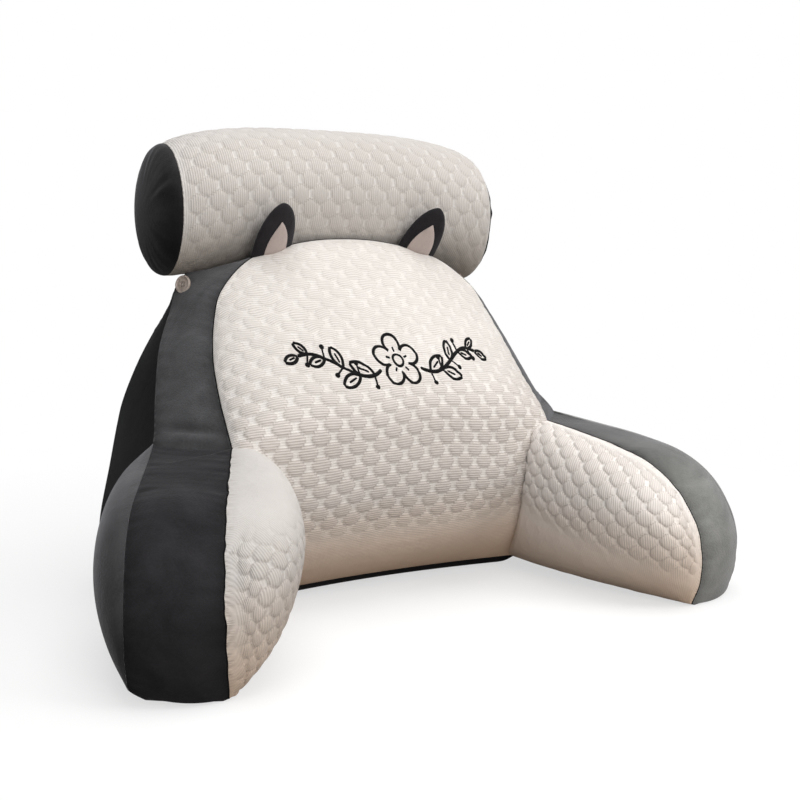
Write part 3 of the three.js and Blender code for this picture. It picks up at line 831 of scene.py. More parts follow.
# Values of the panel's grid between its points, blended from the four round each place.
def onPanelGrid(values, s, t):
    row = np.interp(t, panelT, np.arange(len(panelT)))
    column = np.interp(s, panelS, np.arange(len(panelS)))
    i = np.minimum(row.astype(int), len(panelT) - 2)
    j = np.minimum(column.astype(int), len(panelS) - 2)
    a, b = (row - i)[..., None], (column - j)[..., None]
    return ((values[i, j] * (1 - b) + values[i, j + 1] * b) * (1 - a)
            + (values[i + 1, j] * (1 - b) + values[i + 1, j + 1] * b) * a)


# A stitched line on the panel: sheets over and under its strip, at sqrt(1 - q^2) above and below the
# cloth with q from -1 to 1 across the line. An open line's ends are round.
def stitched(line, width):
    line = np.asarray(line, float)
    run = runAlong(line)
    length = run[-1]
    even = np.linspace(0, length, max(int(length / garland["stitch"]), 8) + 1)
    centre = np.stack([np.interp(even, run, line[:, k]) for k in range(2)], -1)
    tangent = unit(np.gradient(centre, axis=0))
    closed = np.linalg.norm(line[0] - line[-1]) < 1e-6
    if closed:
        tangent[0] = tangent[-1] = unit(centre[1] - centre[-2])
    sideways = np.stack([-tangent[:, 1], tangent[:, 0]], -1)
    toEnd = np.minimum(even, length - even)
    taper = 1 if closed else np.sqrt(np.clip(1 - (1 - np.clip(toEnd / (width / 2), 0, 1))**2, 0, 1))
    half = (width / 2 * taper + 0 * even)[:, None]
    q = np.linspace(-1, 1, garland["across"])
    place = centre[:, None] + sideways[:, None] * (half * q)[..., None]
    x, z = place[..., 0] * millimetre, place[..., 1] * millimetre + garland["height"]
    s, t = panelPlace(x, z)
    base, normal = onPanelGrid(panelPoints, s, t), unit(onPanelGrid(panelNormals, s, t))
    dome = (np.sqrt(np.clip(1 - q**2, 0, 1)) * np.minimum(half / (width / 2) + 0.001, 1))[..., None]
    cloth = np.stack(np.broadcast_arrays(even[:, None] * millimetre, half * q * millimetre), -1)
    over = {"points": base + normal * dome * garland["rise"], "cloth": cloth}
    under = {"points": base - normal * dome * garland["sunk"], "cloth": cloth}
    return [over, under]


# A Bezier curve: neighbouring control points are blended until one point is left.
def bezier(controls, count=40):
    w = np.linspace(0, 1, count + 1)[:, None]
    points = [np.asarray(point, float) for point in controls]
    while len(points) > 1:
        points = [a * (1 - w) + b * w for a, b in zip(points[:-1], points[1:])]
    return points[0]


# A closed circle, from its right and anticlockwise.
def circle(centre, radius, count=40):
    turn = np.linspace(0, 2 * np.pi, count + 1)
    return np.asarray(centre, float) + radius * np.stack([np.cos(turn), np.sin(turn)], -1)


# The unit vector at an angle to the x axis.
def ray(degrees):
    return np.array([np.cos(np.radians(degrees)), np.sin(np.radians(degrees))])


# A leaf: two bowed sides and a short rib, from its foot along the direction given in degrees.
def leafLines(foot, length, degrees):
    leaf = garland["leaf"]
    onwards, aside = ray(degrees) * length, ray(degrees + 90) * length
    sides = [bezier([foot, *(foot + onwards * share + aside * bow * turn for share, bow in leaf["bow"]),
                     foot + onwards]) for turn in (1, -1)]
    rib = bezier([foot + onwards * share for share in leaf["rib"]])
    return [(side, leaf["width"]) for side in sides] + [(rib, leaf["ribWidth"])]


# The flower's outline, radius inner + (outer - inner) |cos(count (angle - turn) / 2)|^power, with its
# eye and stamens, each line with its width.
def flowerLines():
    petals, eye, stamens = garland["petals"], garland["eye"], garland["stamens"]
    turn = np.linspace(0, 2 * np.pi, 241)
    inner, outer = petals["radius"]
    lobes = np.abs(np.cos(petals["count"] * (turn - np.radians(petals["turn"])) / 2))**petals["power"]
    outline = (inner + (outer - inner) * lobes)[:, None] * np.stack([np.cos(turn), np.sin(turn)], -1)
    rays = [ray(360 * k / petals["count"] + petals["turn"]) for k in range(petals["count"])]
    return [(outline, petals["width"]), (circle((0, 0), eye["radius"]), eye["width"]),
            *((bezier([way * reach for reach in stamens["reach"]]), stamens["width"]) for way in rays)]


# A stem with leaves to either side in turn, a berry across from each, and a leaf at its tip.
def branchLines(branch):
    leaf, berry = garland["leaf"], garland["berry"]
    longest, shortest = leaf["length"]
    firstAt, way = garland["leafAt"]
    stem = bezier(branch["stem"], 100)
    heading = np.degrees(np.arctan2(*np.gradient(stem, axis=0)[:, ::-1].T))
    lines = [(stem, garland["stemWidth"])]
    for k in range(branch["leaves"]):
        share = k / (branch["leaves"] - 1)
        at = int(firstAt + way * share)
        turned = leaf["angle"] * (-1)**k * branch["side"]
        berryAt = stem[at] + berry["offset"] * ray(heading[at] - turned * berry["turn"])
        lines += leafLines(stem[at], longest + (shortest - longest) * share, heading[at] + turned)
        lines += [(bezier([stem[at], berryAt]), leaf["ribWidth"]),
                  (circle(berryAt, berry["width"] / 2), berry["width"])]
    return lines + leafLines(stem[-1], shortest, heading[-1])


# All the garland's lines in one piece.
def embroidery():
    lines = flowerLines() + [line for branch in garland["branches"] for line in branchLines(branch)]
    sheets = [sheet for line, width in lines for sheet in stitched(line, width)]
    dressed(sewn("embroidery", sheets), [], satin)


embroidery()
print("garland stitched")

pucker = {"reach": 0.6, "hem": 0.05}  # in wavelengths into the band, and in shares of its width

band = {
    "bulge": 8 * millimetre,
    "rise": 60 * millimetre,  # length over which the bulge fades in or out
    "across": 30,
    "side": 150,
    "top": 110,
    "ripple": 0.9 * millimetre,
    "rippleLength": 34 * millimetre,
    "seed": 4,
    "crease": {"above": 15 * millimetre, "depth": 4 * millimetre, "width": 4.5 * millimetre},
    "fold": {"above": 6 * millimetre, "depth": -2 * millimetre, "width": 5 * millimetre},
    "fill": 0.6,
}


# A slab's walls: lines between two rim loops with w from 0 to 1 along them, bulged by 4 w (1 - w) and
# puckered at both seams by a wander that dies away from them. Their presence, 0 at the seams, darkens the
# plush there as painted shade.
def bandSheet(near, far, bulge, across, ripple, wavelength, seed):
    w = np.linspace(0, 1, across + 1)[:, None]
    tangent = np.gradient(near, axis=0)
    tangent[0] = tangent[-1] = near[1] - near[-2]
    normal = unit(np.cross(tangent, far - near))
    run, span = runAlong(near), np.linalg.norm(far - near, axis=-1)
    reach, rim = wavelength * pucker["reach"], np.minimum(w, 1 - w)
    puckered = wander(run, wavelength, seed) * np.exp(-w * span / reach) \
        + wander(run, wavelength, seed + 1) * np.exp(-(1 - w) * span / reach)
    puckered = puckered * np.clip(rim / pucker["hem"], 0, 1)
    rise = bulge * 4 * w * (1 - w) + ripple * puckered
    points = near * (1 - w[..., None]) + far * w[..., None] + normal * rise[..., None]
    points[..., 2] = np.maximum(points[..., 2], 0)
    return {"points": points, "presence": 1 - np.exp(-rim * span / plushLook["fold"])}


# The band bulges between the waist and the arch and is creased just above the waist.
def bodyBand():
    s, t = spread(band["top"]), spread(band["side"])
    loop = rimLoop(s, t)
    rear = offset(outerPatch, np.array([0, -gap, 0]))
    near, far = innerPatch(*loop.T), rear(*loop.T)
    waistHeight = wedgeRows[wedge["waistLevel"], 0, 2]
    archHeight = wedgeRows[wedge["shoulderLevel"], 0, 2]
    bulge = -band["bulge"] * smooth(near[:, 2], waistHeight, waistHeight + band["rise"]) \
        * (1 - smooth(near[:, 2], archHeight - band["rise"] / 2, archHeight))
    for dent in (band["crease"], band["fold"]):
        away = (near[:, 2] - waistHeight - dent["above"]) / dent["width"]
        bulge = bulge + dent["depth"] * np.exp(-away**2)
    wall = bandSheet(near, far, bulge, band["across"], -band["ripple"], band["rippleLength"], band["seed"])
    sheets = [wall, {"points": lid(innerPatch, s, t)}, {"points": lid(rear, s, t)}]
    dressed(sewn("bodyBand", sheets), ["body_gusset"], charcoalPlush)


bodyBand()
# A thin black tube along the wedge's front seam: painted shadow of the seam.
wedgeSeamShadow = rimShadowLine(offset(innerPatch, np.array([0, -gap / 2, 0])), 3, np.array([0.0, 1, 0]))
dressed(sewn("wedgeSeamShadow", wedgeSeamShadow), [], blackPlush)

back = {"crown": 9 * millimetre, "fullness": 0.72, "lowestSlope": -0.1, "sideBulge": 3 * millimetre,
        "across": 90, "up": 100, "band": 40, "seed": 11, "fill": 0.6}


# The two side walls and the crowned back in one.
def backPanel():
    s, t = spread(back["across"]), spread(back["up"])
    loop = rimLoop(s, t)
    rear = crowned(backPatch, back["crown"], back["fullness"], -1, lowestSlope=back["lowestSlope"])
    near, far = outerPatch(*loop.T), rear(*loop.T)
    bulge = -back["sideBulge"] * smooth(near[:, 2], wedgeRows[0, 1, 2], band["rise"])
    wall = bandSheet(near, far, bulge, back["band"], -band["ripple"], band["rippleLength"], back["seed"])
    sheets = [wall, {"points": lid(outerPatch, s, t)}, {"points": rear(s[None, :], t[:, None])}]
    dressed(sewn("backPanel", sheets), ["back_panel"], blackPlush)


backPanel()

sole = {
    "profile": [(0, 48), (4, 28), (9, 12), (18.6, 0)],  # from the floor up: height, and how far drawn in
    "corner": 0.6,  # share by which the two far corners are drawn in more
    "crosswise": 0.5,
    "steps": 12,
    "side": 60,
    "rings": 5,
}


# The walls follow the wedge's base outline, drawn in by the profile; two lids shrink to its middle.
def basePanel():
    s = np.linspace(0, 1, sole["side"] + 1)
    front, rear = innerPatch(s, 0 * s), backPatch(s[::-1], 0 * s)
    right, left = outerPatch(np.ones(1), np.zeros(1)), outerPatch(np.zeros(1), np.zeros(1))
    outline = np.vstack([front, right, rear, left, front[:1]])
    centre = (outline.min(0) + outline.max(0)) / 2 * [1, 1, 0]
    away = (outline - centre) * [1, 1, 0]
    inward = -unit(away * [sole["crosswise"], 1, 0])
    profile = rowCurve(np.array(sole["profile"]) * millimetre, len(sole["profile"]) - 1)
    rows = profile(np.linspace(0, len(sole["profile"]) - 1, sole["steps"] + 1))
    drawn = 1 + sole["corner"] * (outline[:, :1] / outline[:, 0].max())**2
    wall = np.stack([centre + away + inward * inset * drawn + up * height for height, inset in rows])
    lids = [closing(edge, centre + up * height, sole["rings"])
            for edge, height in ((wall[0], rows[0, 0]), (wall[-1], rows[-1, 0]))]
    dressed(sewn("basePanel", [{"points": wall}, *lids]), ["base_panel"], blackPlush)


basePanel()
print("wedge sewn")

armPanel = {
    "crown": 69 * millimetre,
    "fullness": 0.45,
    "skew": 0.3,
    "reach": 0.1,
    "across": 220,
    "up": 190,
    "start": 1.5,
    "margin": (0.018, 0.025),
    "quilt": {"ribAxis": 0, "ribPitch": 2.6 * millimetre, "steps": (24 * millimetre, 29 * millimetre),
              "cell": (10.2 * millimetre, 11 * millimetre), "corners": 4, "edge": 3, "flatness": 0.55,
              "height": 2.6 * millimetre, "step": 1.1, "outline": 0.24,
              "groundRib": 0.06, "cellRib": 0.36, "plainRib": 0.25, "contrast": 0.4},
    "creep": {"wavelength": 170 * millimetre, "amount": 1.6 * millimetre},
    "plainBelow": {"right": (32 * millimetre, 106 * millimetre),  # at the front foot and at the rear
                   "left": (-24 * millimetre, 20 * millimetre)},
    "plainAbove": {"right": 1.0, "left": 150 * millimetre},
    "blend": 26 * millimetre,  # height over which the cells come in or fade out
    # heights over which the painted shade low on each arm fades out
    "lowShadeHeights": {"right": (-0.02, 0.13), "left": (-0.04, 0.12)},
    # the right arm's quilt lighter as painted light, the left one darker as painted shade
    "tone": {"right": 1.12, "left": 0.76},
    "fill": 0.9,
}
armQuilts = {side: quiltMaterial(f"{side}_arm_quilt", armPanel["quilt"], quiltLook["armBounceShade"],
                                 armPanel["lowShadeHeights"][side], armPanel["tone"][side])
             for side in ("right", "left")}


# Cells stand between two heights: the lower one rises from the front foot to the rear, and the left
# arm is plain in its upper part.
def armInnerPanels():
    rear = tailed(offset(armInnerPatch, -outward * gap / 2))
    front = crowned(
        rear, armPanel["crown"], armPanel["fullness"], -1, armPanel["skew"], reach=armPanel["reach"])
    s, t = spread(armPanel["across"]), spread(armPanel["up"])
    bare = armSewn(front)(s[None, :], t[:, None])
    cloth = crept(flattened(front, rear, along, up, armPanel["start"])(s, t), armPanel["creep"])
    height, blend = bare[..., 2], armPanel["blend"]
    for side in ("right", "left"):
        lowFront, lowRear = armPanel["plainBelow"][side]
        lowest, highest = lowFront + (lowRear - lowFront) * s, armPanel["plainAbove"][side]
        presence = rimFade(s, t, *armPanel["margin"]) * smooth(height, lowest, lowest + blend) \
            * (1 - smooth(height, highest - blend, highest + blend))
        points = quilted(bare, cloth, -1, armPanel["quilt"], presence)
        sheets = [{"points": points, "cloth": cloth, "presence": presence},
                  {"points": lid(armSewn(rear), s, t)}]
        piece = sewn(f"armPanel_{side}", settled(sheets, side))
        dressed(piece, [f"arm_inner_panel_{side}"], armQuilts[side])


armInnerPanels()
print("arm panels sewn")

armBand = {
    "bulge": 12.5 * millimetre,
    "flatTop": {"share": 0.8, "from": 40 * millimetre, "to": 120 * millimetre},  # of the bulge that is lost
    "roll": 4 * millimetre,  # radius by which the band rolls down into the joint with the wedge
    "shade": {"share": 0.75, "length": 120 * millimetre},  # painted shade ahead of that joint
    "across": 40,
    "side": 90,
    "top": 110,
    "ripple": 0.9 * millimetre,
    "rippleLength": 42 * millimetre,
    "seed": 21,
    "fill": 0.8,
}


# The bulge fades towards the joint with the wedge, where the band rolls down by a quarter circle and the
# plush is darkened ahead of it as painted shade.
def armBands():
    s, t = spread(armBand["top"]), spread(armBand["side"])
    loop = rimLoop(s, t)
    nearPatch = armSewn(offset(armInnerPatch, outward * gap / 2))
    farPatch = offset(armOuterPatch, -outward * gap / 2)
    near, far = nearPatch(*loop.T), farPatch(*loop.T)
    joint, roll, flatTop, shade = waist[1] - gap, armBand["roll"], armBand["flatTop"], armBand["shade"]
    bulge = armBand["bulge"] * (1 - smooth(near[:, 1], joint - band["rise"], joint)) \
        * (1 - flatTop["share"] * smooth((near - frontFoot) @ along, flatTop["from"], flatTop["to"]))
    wall = bandSheet(near, far, bulge, armBand["across"], armBand["ripple"], armBand["rippleLength"],
                     armBand["seed"])
    w = np.linspace(0, 1, armBand["across"] + 1)[:, None]
    points = wall["points"]
    toJoint = np.clip((joint - points[..., 1]) / roll, 0, 1)
    drop = roll * (1 - np.sqrt(1 - (1 - toJoint)**2)) * np.sqrt(4 * w * (1 - w))
    points[..., 2] -= drop * smooth(points[..., 2], waist[2] - 3 * roll, waist[2] - roll)
    shaded = 1 - smooth(joint - points[..., 1], 0, shade["length"])
    wall["presence"] = wall["presence"] * (1 - shade["share"] * shaded)
    sheets = [wall, {"points": lid(nearPatch, s, t)}, {"points": lid(farPatch, s, t)}]
    # The right band is a lit copy and the left one a shaded copy: painted light and painted shade.
    materials = [litBandPlush, shadedPlush]
    dressedPair("armBand", ["arm_gusset"], sheets, materials)


armBands()
# A thin black tube along each arm's inner seam: painted shadow of the seam.
armSeamShadow = rimShadowLine(armSewn(armInnerPatch), 2, outward)
dressedPair("armSeamShadow", [], armSeamShadow, [blackPlush, blackPlush])

armSide = {"crown": 35 * millimetre, "skew": 0.2, "fullness": 0.55, "reach": 1 / 9, "across": 90, "up": 80,
           "fill": 0.8}


# A plain crowned pad on the outside of each arm.
def armOuterPanels():
    rear = offset(armOuterPatch, outward * gap / 2)
    front = crowned(rear, armSide["crown"], armSide["fullness"], 1, armSide["skew"], reach=armSide["reach"])
    s, t = spread(armSide["across"]), spread(armSide["up"])
    sheets = [{"points": front(s[None, :], t[:, None])}, {"points": lid(rear, s, t)}]
    materials = [litPlush, charcoalPlush]
    dressedPair("armSide", ["arm_outer_panel"], sheets, materials)


armOuterPanels()
print("arms sewn")

bolster = {
    "halfLength": 219 * millimetre,
    "rightExtra": 12 * millimetre,  # the right end's cover runs on further over its cap
    "shoulder": 30 * millimetre,  # length of the rounding at the right end
    "shoulderDepth": 9 * millimetre,
    "endRadius": 83 * millimetre,
    "barrel": 6 * millimetre,
    "depth": 421 * millimetre - depthShift,
    "endHeight": 484 * millimetre,
    "arch": 21 * millimetre,
    "along": 240,
    "crowding": 0.5,  # of the grid towards the ends
    "round": 300,
    "cellsRound": 15,
    "margin": 12 * millimetre,  # over which the cells fade out at the ends
    "calmAbove": {"share": 0.45, "from": 0.7, "to": 0.95},  # of the cells' height, by the sine of the angle
    "calmBelow": {"share": 0.5, "from": 0.3, "to": 0.8},
    "sag": 12 * millimetre,  # of the right end's underside
    "sagFrom": 0.7,  # share of the half length
    "rings": 5,
    "quilt": {"ribAxis": 0, "ribPitch": 2.8 * millimetre, "steps": (27 * millimetre, 37.6 * millimetre),
              "cell": (11.5 * millimetre, 14 * millimetre), "corners": 5, "edge": 3.5, "flatness": 0.6,
              "height": 1.8 * millimetre, "step": 1.3, "outline": 0.2,
              "groundRib": 0.1, "cellRib": 0.34, "plainRib": 0.5, "contrast": 0.4},
    "creep": {"wavelength": 300 * millimetre, "amount": 1.2 * millimetre},
    "fill": 0.9,
}
bolsterQuilt = quiltMaterial("bolster_quilt", bolster["quilt"], quiltLook["shaded"], (0.4, 0.465), 0.85)


# Rings round the bolster's axis: depth + radius cos, height + radius sin, less the right end's sag.
def bolsterRings(x, radius, height, angle, sag):
    x, radius, height = (np.asarray(value, float)[:, None] + 0 * angle for value in (x, radius, height))
    sagging = smooth(x, bolster["sagFrom"] * bolster["halfLength"], bolster["halfLength"])
    rise = radius * np.sin(angle) - sag * sagging * smooth(-np.sin(angle), 0, 1)
    return np.stack([x, bolster["depth"] + radius * np.cos(angle), height + rise], -1)


# A bowed roll: axis height = end + arch (1 - |x|^3), radius = end + barrel (1 - x^8), x from -1 to 1,
# less a quarter ellipse at the right end.
def bolsterCover():
    x = 2 * spread(bolster["along"], bolster["crowding"]) - 1
    angle = np.linspace(0, 2 * np.pi, bolster["round"] + 1)
    height = bolster["endHeight"] + bolster["arch"] * (1 - np.abs(x)**3)
    place = x * bolster["halfLength"] + bolster["rightExtra"] * smooth(x, 0, 1)
    rightEnd = bolster["halfLength"] + bolster["rightExtra"]
    w = np.clip(1 - (rightEnd - place) / bolster["shoulder"], 0, 1)
    radius = bolster["endRadius"] + bolster["barrel"] * (1 - x**8) \
        - bolster["shoulderDepth"] * (1 - np.sqrt(1 - w**2))
    points = bolsterRings(place, radius, height, angle, bolster["sag"])
    girth = angle * bolster["cellsRound"] * bolster["quilt"]["steps"][1] / (2 * np.pi)
    cloth = np.stack(np.broadcast_arrays(place[:, None], girth[None, :]), -1)
    presence = smooth((1 - np.abs(x)) * bolster["halfLength"], 0, bolster["margin"])[:, None]
    for calm, upwards in ((bolster["calmAbove"], 1), (bolster["calmBelow"], -1)):
        presence = presence * (1 - calm["share"] * smooth(upwards * np.sin(angle), calm["from"], calm["to"]))
    points = quilted(points, cloth, 1, bolster["quilt"], presence)
    ends = [closing(ring, ring.mean(0), bolster["rings"]) for ring in (points[0], points[-1])]
    sheets = [{"points": points, "cloth": cloth, "presence": presence}, *ends]
    dressed(sewn("bolsterCover", sheets), ["bolster_cover"], bolsterQuilt)


bolsterCover()

bolsterCap = {
    "bulge": {"right": 14 * millimetre, "left": 27 * millimetre},
    "roundness": 2.2,
    "droop": 4 * millimetre,
    "pucker": {"wavelength": 60 * millimetre, "depth": 1.6 * millimetre, "seed": 7,
               "grows": (0.35, 0.9), "ends": (0.96, 1)},  # shares of the radius
    "rings": 50,
    "round": 144,
    "fill": 0.9,
}


# A puffed end, drawn on the right and mirrored: bulge sqrt(1 - r^roundness) beyond the end seam, its
# middle hanging a little, gathered all round its rim.
def bolsterCaps():
    r = np.cos(np.linspace(0, np.pi / 2, bolsterCap["rings"] + 1))
    angle = np.linspace(0, 2 * np.pi, bolsterCap["round"] + 1)
    height, gather = bolster["endHeight"] - bolsterCap["droop"] * (1 - r**2), bolsterCap["pucker"]
    gathered = smooth(r, *gather["grows"]) * (1 - smooth(r, *gather["ends"]))
    gathered = gathered[:, None] * np.sin(angle / 2)**2
    for side in ("right", "left"):
        isRight = side == "right"
        seam = bolster["halfLength"] + gap + bolster["rightExtra"] * isRight
        rim = bolster["endRadius"] - bolster["shoulderDepth"] * isRight
        bulge = bolsterCap["bulge"][side] * np.sqrt(1 - r**bolsterCap["roundness"])
        sag = bolster["sag"] * isRight
        dome = bolsterRings(seam + bulge, rim * r, height, angle, sag)
        dome[..., 0] += wander(angle * rim, gather["wavelength"], gather["seed"]) * gather["depth"] * gathered
        flat = bolsterRings(seam + 0 * r, rim * r, bolster["endHeight"] + 0 * r, angle, sag)
        sheets = [{"points": dome}, {"points": flat}]
        piece = sewn(f"bolsterCap_{side}", sheets if isRight else mirroredSheets(sheets))
        dressed(piece, [f"bolster_cap_{side}"], endPlush)


bolsterCaps()
print("bolster sewn")

# An ear stands in the top seam of the wedge and leans forwards over the panel.
ear = {
    "level": 9.42,  # row of the seam where it stands
    "spread": 0.35,  # rows to either side that give its direction across
    "lean": {"right": np.array([11, -43, 54]) * millimetre, "left": np.array([2, -43, 56]) * millimetre},
    "halfWidth": {"right": 27 * millimetre, "left": 30 * millimetre},
    "halfThickness": 8 * millimetre,
    "sunk": 6 * millimetre,
    "crowding": 1.6,  # of the rows towards the tip
    "bluntness": 0.8,  # of the section's two edges
    "levels": 48,
    "round": 64,
    "rings": 4,
    "fill": 0.5,
}
earLining = {
    "width": {"right": 0.6, "left": 0.52},  # share of the ear's own width
    "low": 0.05,  # shares of the ear's length where the lining starts and ends
    "high": 0.7,
    "thickness": 2.4 * millimetre,
    "hem": 0.5 * millimetre,
    "cells": 36,
    "fill": 0.3,
}
earFoot, earBeside, earBeyond = (
    wedgeSeams["inner"](ear["level"] + rows) for rows in (0, -ear["spread"], ear["spread"]))
earAcross = unit(earBeside - earBeyond)
earLength = np.linalg.norm(ear["lean"]["left"]) + ear["sunk"]


# A leaf's outline: half width (1 - v^2.6)^0.62 and half thickness sqrt(1 - v^4), v from foot to tip.
def earHalfWidth(v, side):
    return ear["halfWidth"][side] * np.maximum(1 - v**2.6, 0)**0.62


def earHalfThickness(v):
    return ear["halfThickness"] * np.maximum(1 - v**4, 0)**0.5


# A point of the right ear: v runs up along the side's own lean, x across and depth forwards.
def earPoint(v, x, depth, side):
    upwards = unit(ear["lean"][side])
    forwards = unit(np.cross(earAcross, upwards))
    rise = v * earLength - ear["sunk"]
    return earFoot + rise[..., None] * upwards + x[..., None] * earAcross + depth[..., None] * forwards


# A leaf with an oval section, half width |cos|^bluntness across and half thickness sin through.
def earSheets(side):
    v = 1 - (1 - np.linspace(0, 1, ear["levels"] + 1))**ear["crowding"]
    angle = np.linspace(0, 2 * np.pi, ear["round"] + 1)
    v, angle = np.meshgrid(v, angle, indexing="ij")
    reach = np.sign(np.cos(angle)) * np.abs(np.cos(angle))**ear["bluntness"]
    leaf = earPoint(v, earHalfWidth(v, side) * reach, earHalfThickness(v) * np.sin(angle), side)
    return [{"points": leaf}, closing(leaf[0], leaf[0].mean(0), ear["rings"])]


# The light leaf sewn on the front of an ear: it lies on the ear's curve, and its half width shrinks as
# 1 - t^3 to a point.
def liningSheets(side):
    t = np.linspace(0, 1, earLining["cells"] + 1)[:, None]
    u = np.linspace(-1, 1, earLining["cells"] + 1)[None, :]
    v = earLining["low"] + (earLining["high"] - earLining["low"]) * t
    half = earLining["width"][side] * earHalfWidth(v, side) * (1 - t**3) + earLining["hem"]
    skin = earHalfThickness(v) * np.sqrt(1 - (u * half / earHalfWidth(v, side))**2)
    swell = earLining["thickness"] * np.minimum(1, 8 * t * (1 - t)) * (1 - u**4)
    v = v + 0 * u
    return [{"points": earPoint(v, u * half, skin + gap + rise, side)} for rise in (swell, 0 * swell)]


# Each ear with the lining on its front.
def ears():
    for side in ("right", "left"):
        made = [
            ("ear", "ear_outer", earSheets(side), "charcoal_plush", earPlush, ear["fill"]),
            ("earLining", "ear_inner", liningSheets(side), "quilted_ivory", leafSuede, earLining["fill"]),
        ]
        for name, node, sheets, slotName, material, fill in made:
            piece = sewn(f"{name}_{side}", sheets if side == "right" else mirroredSheets(sheets))
            dressed(piece, [f"{node}_{side}"], material)


ears()
print("ears sewn")

button = {
    "level": 7.76,  # row of the wedge's seams where it stands
    "across": {"right": 0.95, "left": 0.8},  # share of the way over the band
    "sunk": {"right": 4.5 * millimetre, "left": 0},
    "facing": (0.84, -0.5, 0.22),
    "radius": 11.6 * millimetre,
    "thickness": 4.2 * millimetre,
    "rim": 2.2 * millimetre,
    "rounding": 1.4 * millimetre,
    "dish": 1.5 * millimetre,
    "shank": 3.6 * millimetre,
    "shankRadius": 3.2 * millimetre,
    "neck": 0.9,  # share of the shank's radius and length where it spreads into the disc
    "underside": 0.6,  # share of the radius where the flat back starts
    "lip": (0.7, 1.5),  # rim widths from the edge between which the face dips
    "round": 72,
    "sharpAngle": 35,
    "holeRadius": 1.6 * millimetre,
    "holeOffset": 2.6 * millimetre,
    "holeDepth": 3 * millimetre,
    "thread": {"radius": 0.3 * millimetre, "rise": 0.7 * millimetre, "sink": 1.6 * millimetre},
}


# A frame of three axes whose last one is the given direction.
def axesAlong(direction):
    normal = unit(np.asarray(direction, float))
    side = unit(np.cross(up, normal))
    return side, np.cross(normal, side), normal


# A turned disc: its section runs from the back's middle round the edge to the dished front, and four
# smooth pits are sunk round the middle.
def buttonSheet(seat, axes):
    radius, rim, dish = button["radius"], button["rim"], button["dish"]
    back, front = button["shank"], button["shank"] + button["thickness"]
    turn = np.linspace(-np.pi / 2, np.pi / 2, 15)
    edge = np.stack([radius - button["rounding"] * (1 - np.cos(turn)),
                     back + (front - back) * (1 + np.sin(turn)) / 2], -1)
    inwards = np.linspace(edge[-1, 0], 0, 60)
    face = front - dish * smooth(radius - inwards, *(rim * way for way in button["lip"]))
    stem, neck = button["shankRadius"], button["neck"]
    underside = [(0, 0), (stem, 0), (stem * neck, back * neck), (radius * button["underside"], back)]
    profile = np.vstack([underside, edge, np.stack([inwards, face], -1)[1:]])
    angle = np.linspace(0, 2 * np.pi, button["round"] + 1)
    x = profile[:, :1] * np.cos(angle)
    y = profile[:, :1] * np.sin(angle)
    height = profile[:, 1:] + 0 * x
    onFace = height > (back + front) / 2
    for turnTo in np.arange(4) * np.pi / 2 + np.pi / 4:
        away = np.hypot(x - button["holeOffset"] * np.cos(turnTo), y - button["holeOffset"] * np.sin(turnTo))
        sunk = 1 - smooth(away, 0.6 * button["holeRadius"], button["holeRadius"])
        height = height - onFace * button["holeDepth"] * sunk
    return seat + x[..., None] * axes[0] + y[..., None] * axes[1] + height[..., None] * axes[2]


# Two threads that cross over the four holes.
def threadSheets(seat, axes):
    thread, w = button["thread"], np.linspace(-1, 1, 13)
    dished = button["shank"] + button["thickness"] - button["dish"]
    arch = seat + (dished + thread["rise"] - thread["sink"] * w**4)[:, None] * axes[2]
    sheets = []
    for turnTo in (np.pi / 4, 3 * np.pi / 4):
        across = np.cos(turnTo) * axes[0] + np.sin(turnTo) * axes[1]
        line = arch + (w * button["holeOffset"])[:, None] * across
        sheets.append({"points": tube(line, thread["radius"], axes[2])})
    return sheets


# A disc and its threads on each side.
def buttons():
    axes = axesAlong(button["facing"])
    inner, outer = (wedgeSeams[name](button["level"]) for name in ("inner", "outer"))
    for side in ("right", "left"):
        seat = inner + (outer - inner) * button["across"][side] - axes[2] * button["sunk"][side]
        ownDisc, ownThreads = [{"points": buttonSheet(seat, axes)}], threadSheets(seat, axes)
        if side == "left":
            ownDisc, ownThreads = mirroredSheets(ownDisc), mirroredSheets(ownThreads)
        disc = sewn(f"button_{side}_disc", ownDisc, button["sharpAngle"])
        dressed(disc, [f"button_{side}"], shellPlastic)
        dressed(sewn(f"button_{side}_thread", ownThreads), [], threadCotton)


buttons()
print("buttons made")


stage = {
    "size": 12.0,
    "seen": colour(252, 252, 252),
    "lighting": colour(150, 148, 146),  # what the pillow gets back from the floor
    "shadow": {"from": 0.35, "to": 1.1, "plain": 0.6},  # distances over which it fades, and its plain share
    "skySeen": 1.0,
    "skyLighting": 0.08,
}


# The floor takes a soft shadow near the pillow. Further out it is plain white.
def floorMaterial():
    material = bpy.data.materials.new("floor_white")
    material.use_nodes = True
    tree = material.node_tree
    tree.nodes.clear()
    wire, shadow = Wire(tree), stage["shadow"]
    seen = wire.node("ShaderNodeLightPath")
    distance = wire.node("ShaderNodeVectorMath", {"operation": "LENGTH"}, {0: wire.shape()}, 1)
    tone = seen.blend(stage["lighting"], stage["seen"])
    diffuse = wire.node("ShaderNodeBsdfDiffuse", None, {"Color": tone})
    white = wire.node("ShaderNodeEmission", None, {"Color": colour(255, 255, 255), "Strength": 1.0})
    beyond = distance.between(shadow["from"], shadow["to"])
    share = seen * (beyond * (1 - shadow["plain"]) + shadow["plain"])
    surface = wire.node("ShaderNodeMixShader", None, {0: share, 1: diffuse, 2: white})
    output = tree.nodes.new("ShaderNodeOutputMaterial")
    tree.links.new(surface.socket, output.inputs["Surface"])
    return material


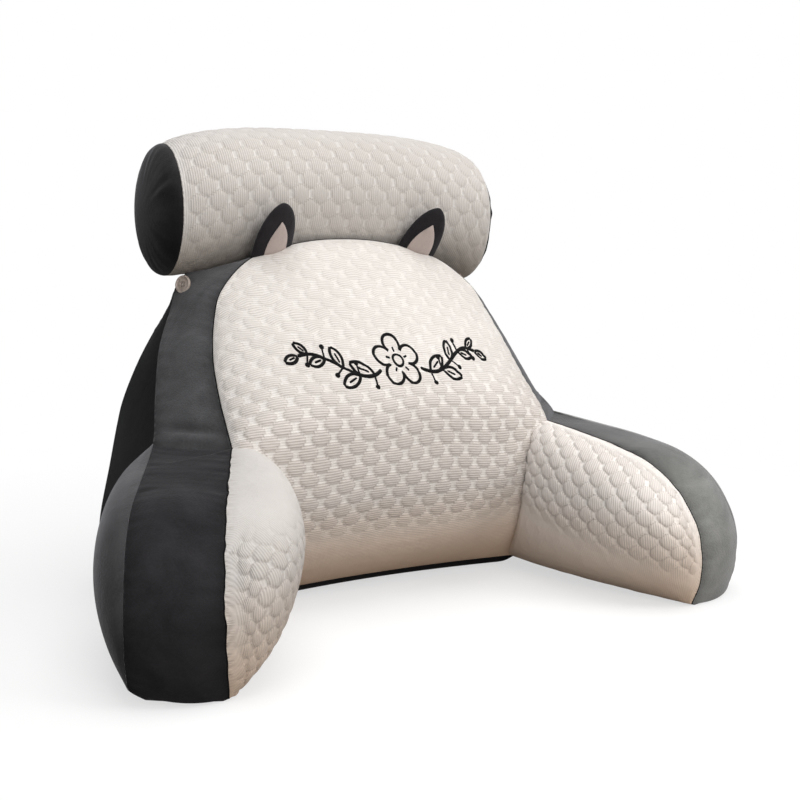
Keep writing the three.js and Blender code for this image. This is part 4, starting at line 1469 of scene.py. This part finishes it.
def makeFloor():
    size = stage["size"]
    corners = [(-size, -size, 0), (size, -size, 0), (size, size, 0), (-size, size, 0)]
    mesh = bpy.data.meshes.new("floor")
    mesh.from_pydata(corners, [], [(0, 1, 2, 3)])
    floor = bpy.data.objects.new("floor", mesh)
    bpy.context.scene.collection.objects.link(floor)
    floor.data.materials.append(floorMaterial())


makeFloor()

world = bpy.data.worlds.new("studio")
bpy.context.scene.world = world
world.use_nodes = True
sky = Wire(world.node_tree)
background = world.node_tree.nodes["Background"]
extra = stage["skySeen"] - stage["skyLighting"]
brightness = sky.node("ShaderNodeLightPath") * extra + stage["skyLighting"]
world.node_tree.links.new(brightness.socket, background.inputs["Strength"])
background.inputs["Color"].default_value = (1, 1, 1, 1)

aim = Vector((0.0, 0.0, 0.3))  # every lamp faces it
lamps = [
    {"name": "top", "place": (0, -0.3, 3.2), "size": 2.4, "power": 64, "colour": (1, 1, 1)},
    {"name": "front", "place": (-0.5, -3.0, 1.6), "size": 2.0, "power": 33, "colour": (1, 1, 1)},
    {"name": "leftFront", "place": (-2.5, -1.6, 2.0), "size": 1.8, "power": 13, "colour": (1, 1, 1)},
    {"name": "rightFront", "place": (1.9, -2.1, 1.9), "size": 1.4, "power": 38, "colour": (1, 0.99, 0.98)},
    {"name": "right", "place": (2.7, -0.5, 2.0), "size": 1.4, "power": 16, "colour": (1, 0.99, 0.98)},
    {"name": "frontLow", "place": (0, -3.0, 0.4), "size": 1.5, "power": 19, "colour": (1, 0.92, 0.83)},
    {"name": "rear", "place": (0.8, 3.0, 1.3), "size": 2.0, "power": 30, "colour": (1, 1, 1)},
]
for lamp in lamps:
    data = bpy.data.lights.new(lamp["name"], "AREA")
    data.size = lamp["size"]
    data.energy = lamp["power"]
    data.color = lamp["colour"]
    holder = bpy.data.objects.new(lamp["name"], data)
    holder.location = lamp["place"]
    holder.rotation_euler = (aim - holder.location).to_track_quat("-Z", "Y").to_euler()
    bpy.context.scene.collection.objects.link(holder)

cameraLook = {"place": (-0.6565, -1.2271, 0.425), "turn": -29.265, "pitch": 82.661, "lens": 50}
camera = bpy.data.objects.new("camera", bpy.data.cameras.new("camera"))
camera.data.lens = cameraLook["lens"]
camera.location = cameraLook["place"]
camera.rotation_euler = (math.radians(cameraLook["pitch"]), 0, math.radians(cameraLook["turn"]))
bpy.context.scene.collection.objects.link(camera)
bpy.context.scene.camera = camera
bpy.context.scene.view_settings.view_transform = "Standard"
print("stage set")
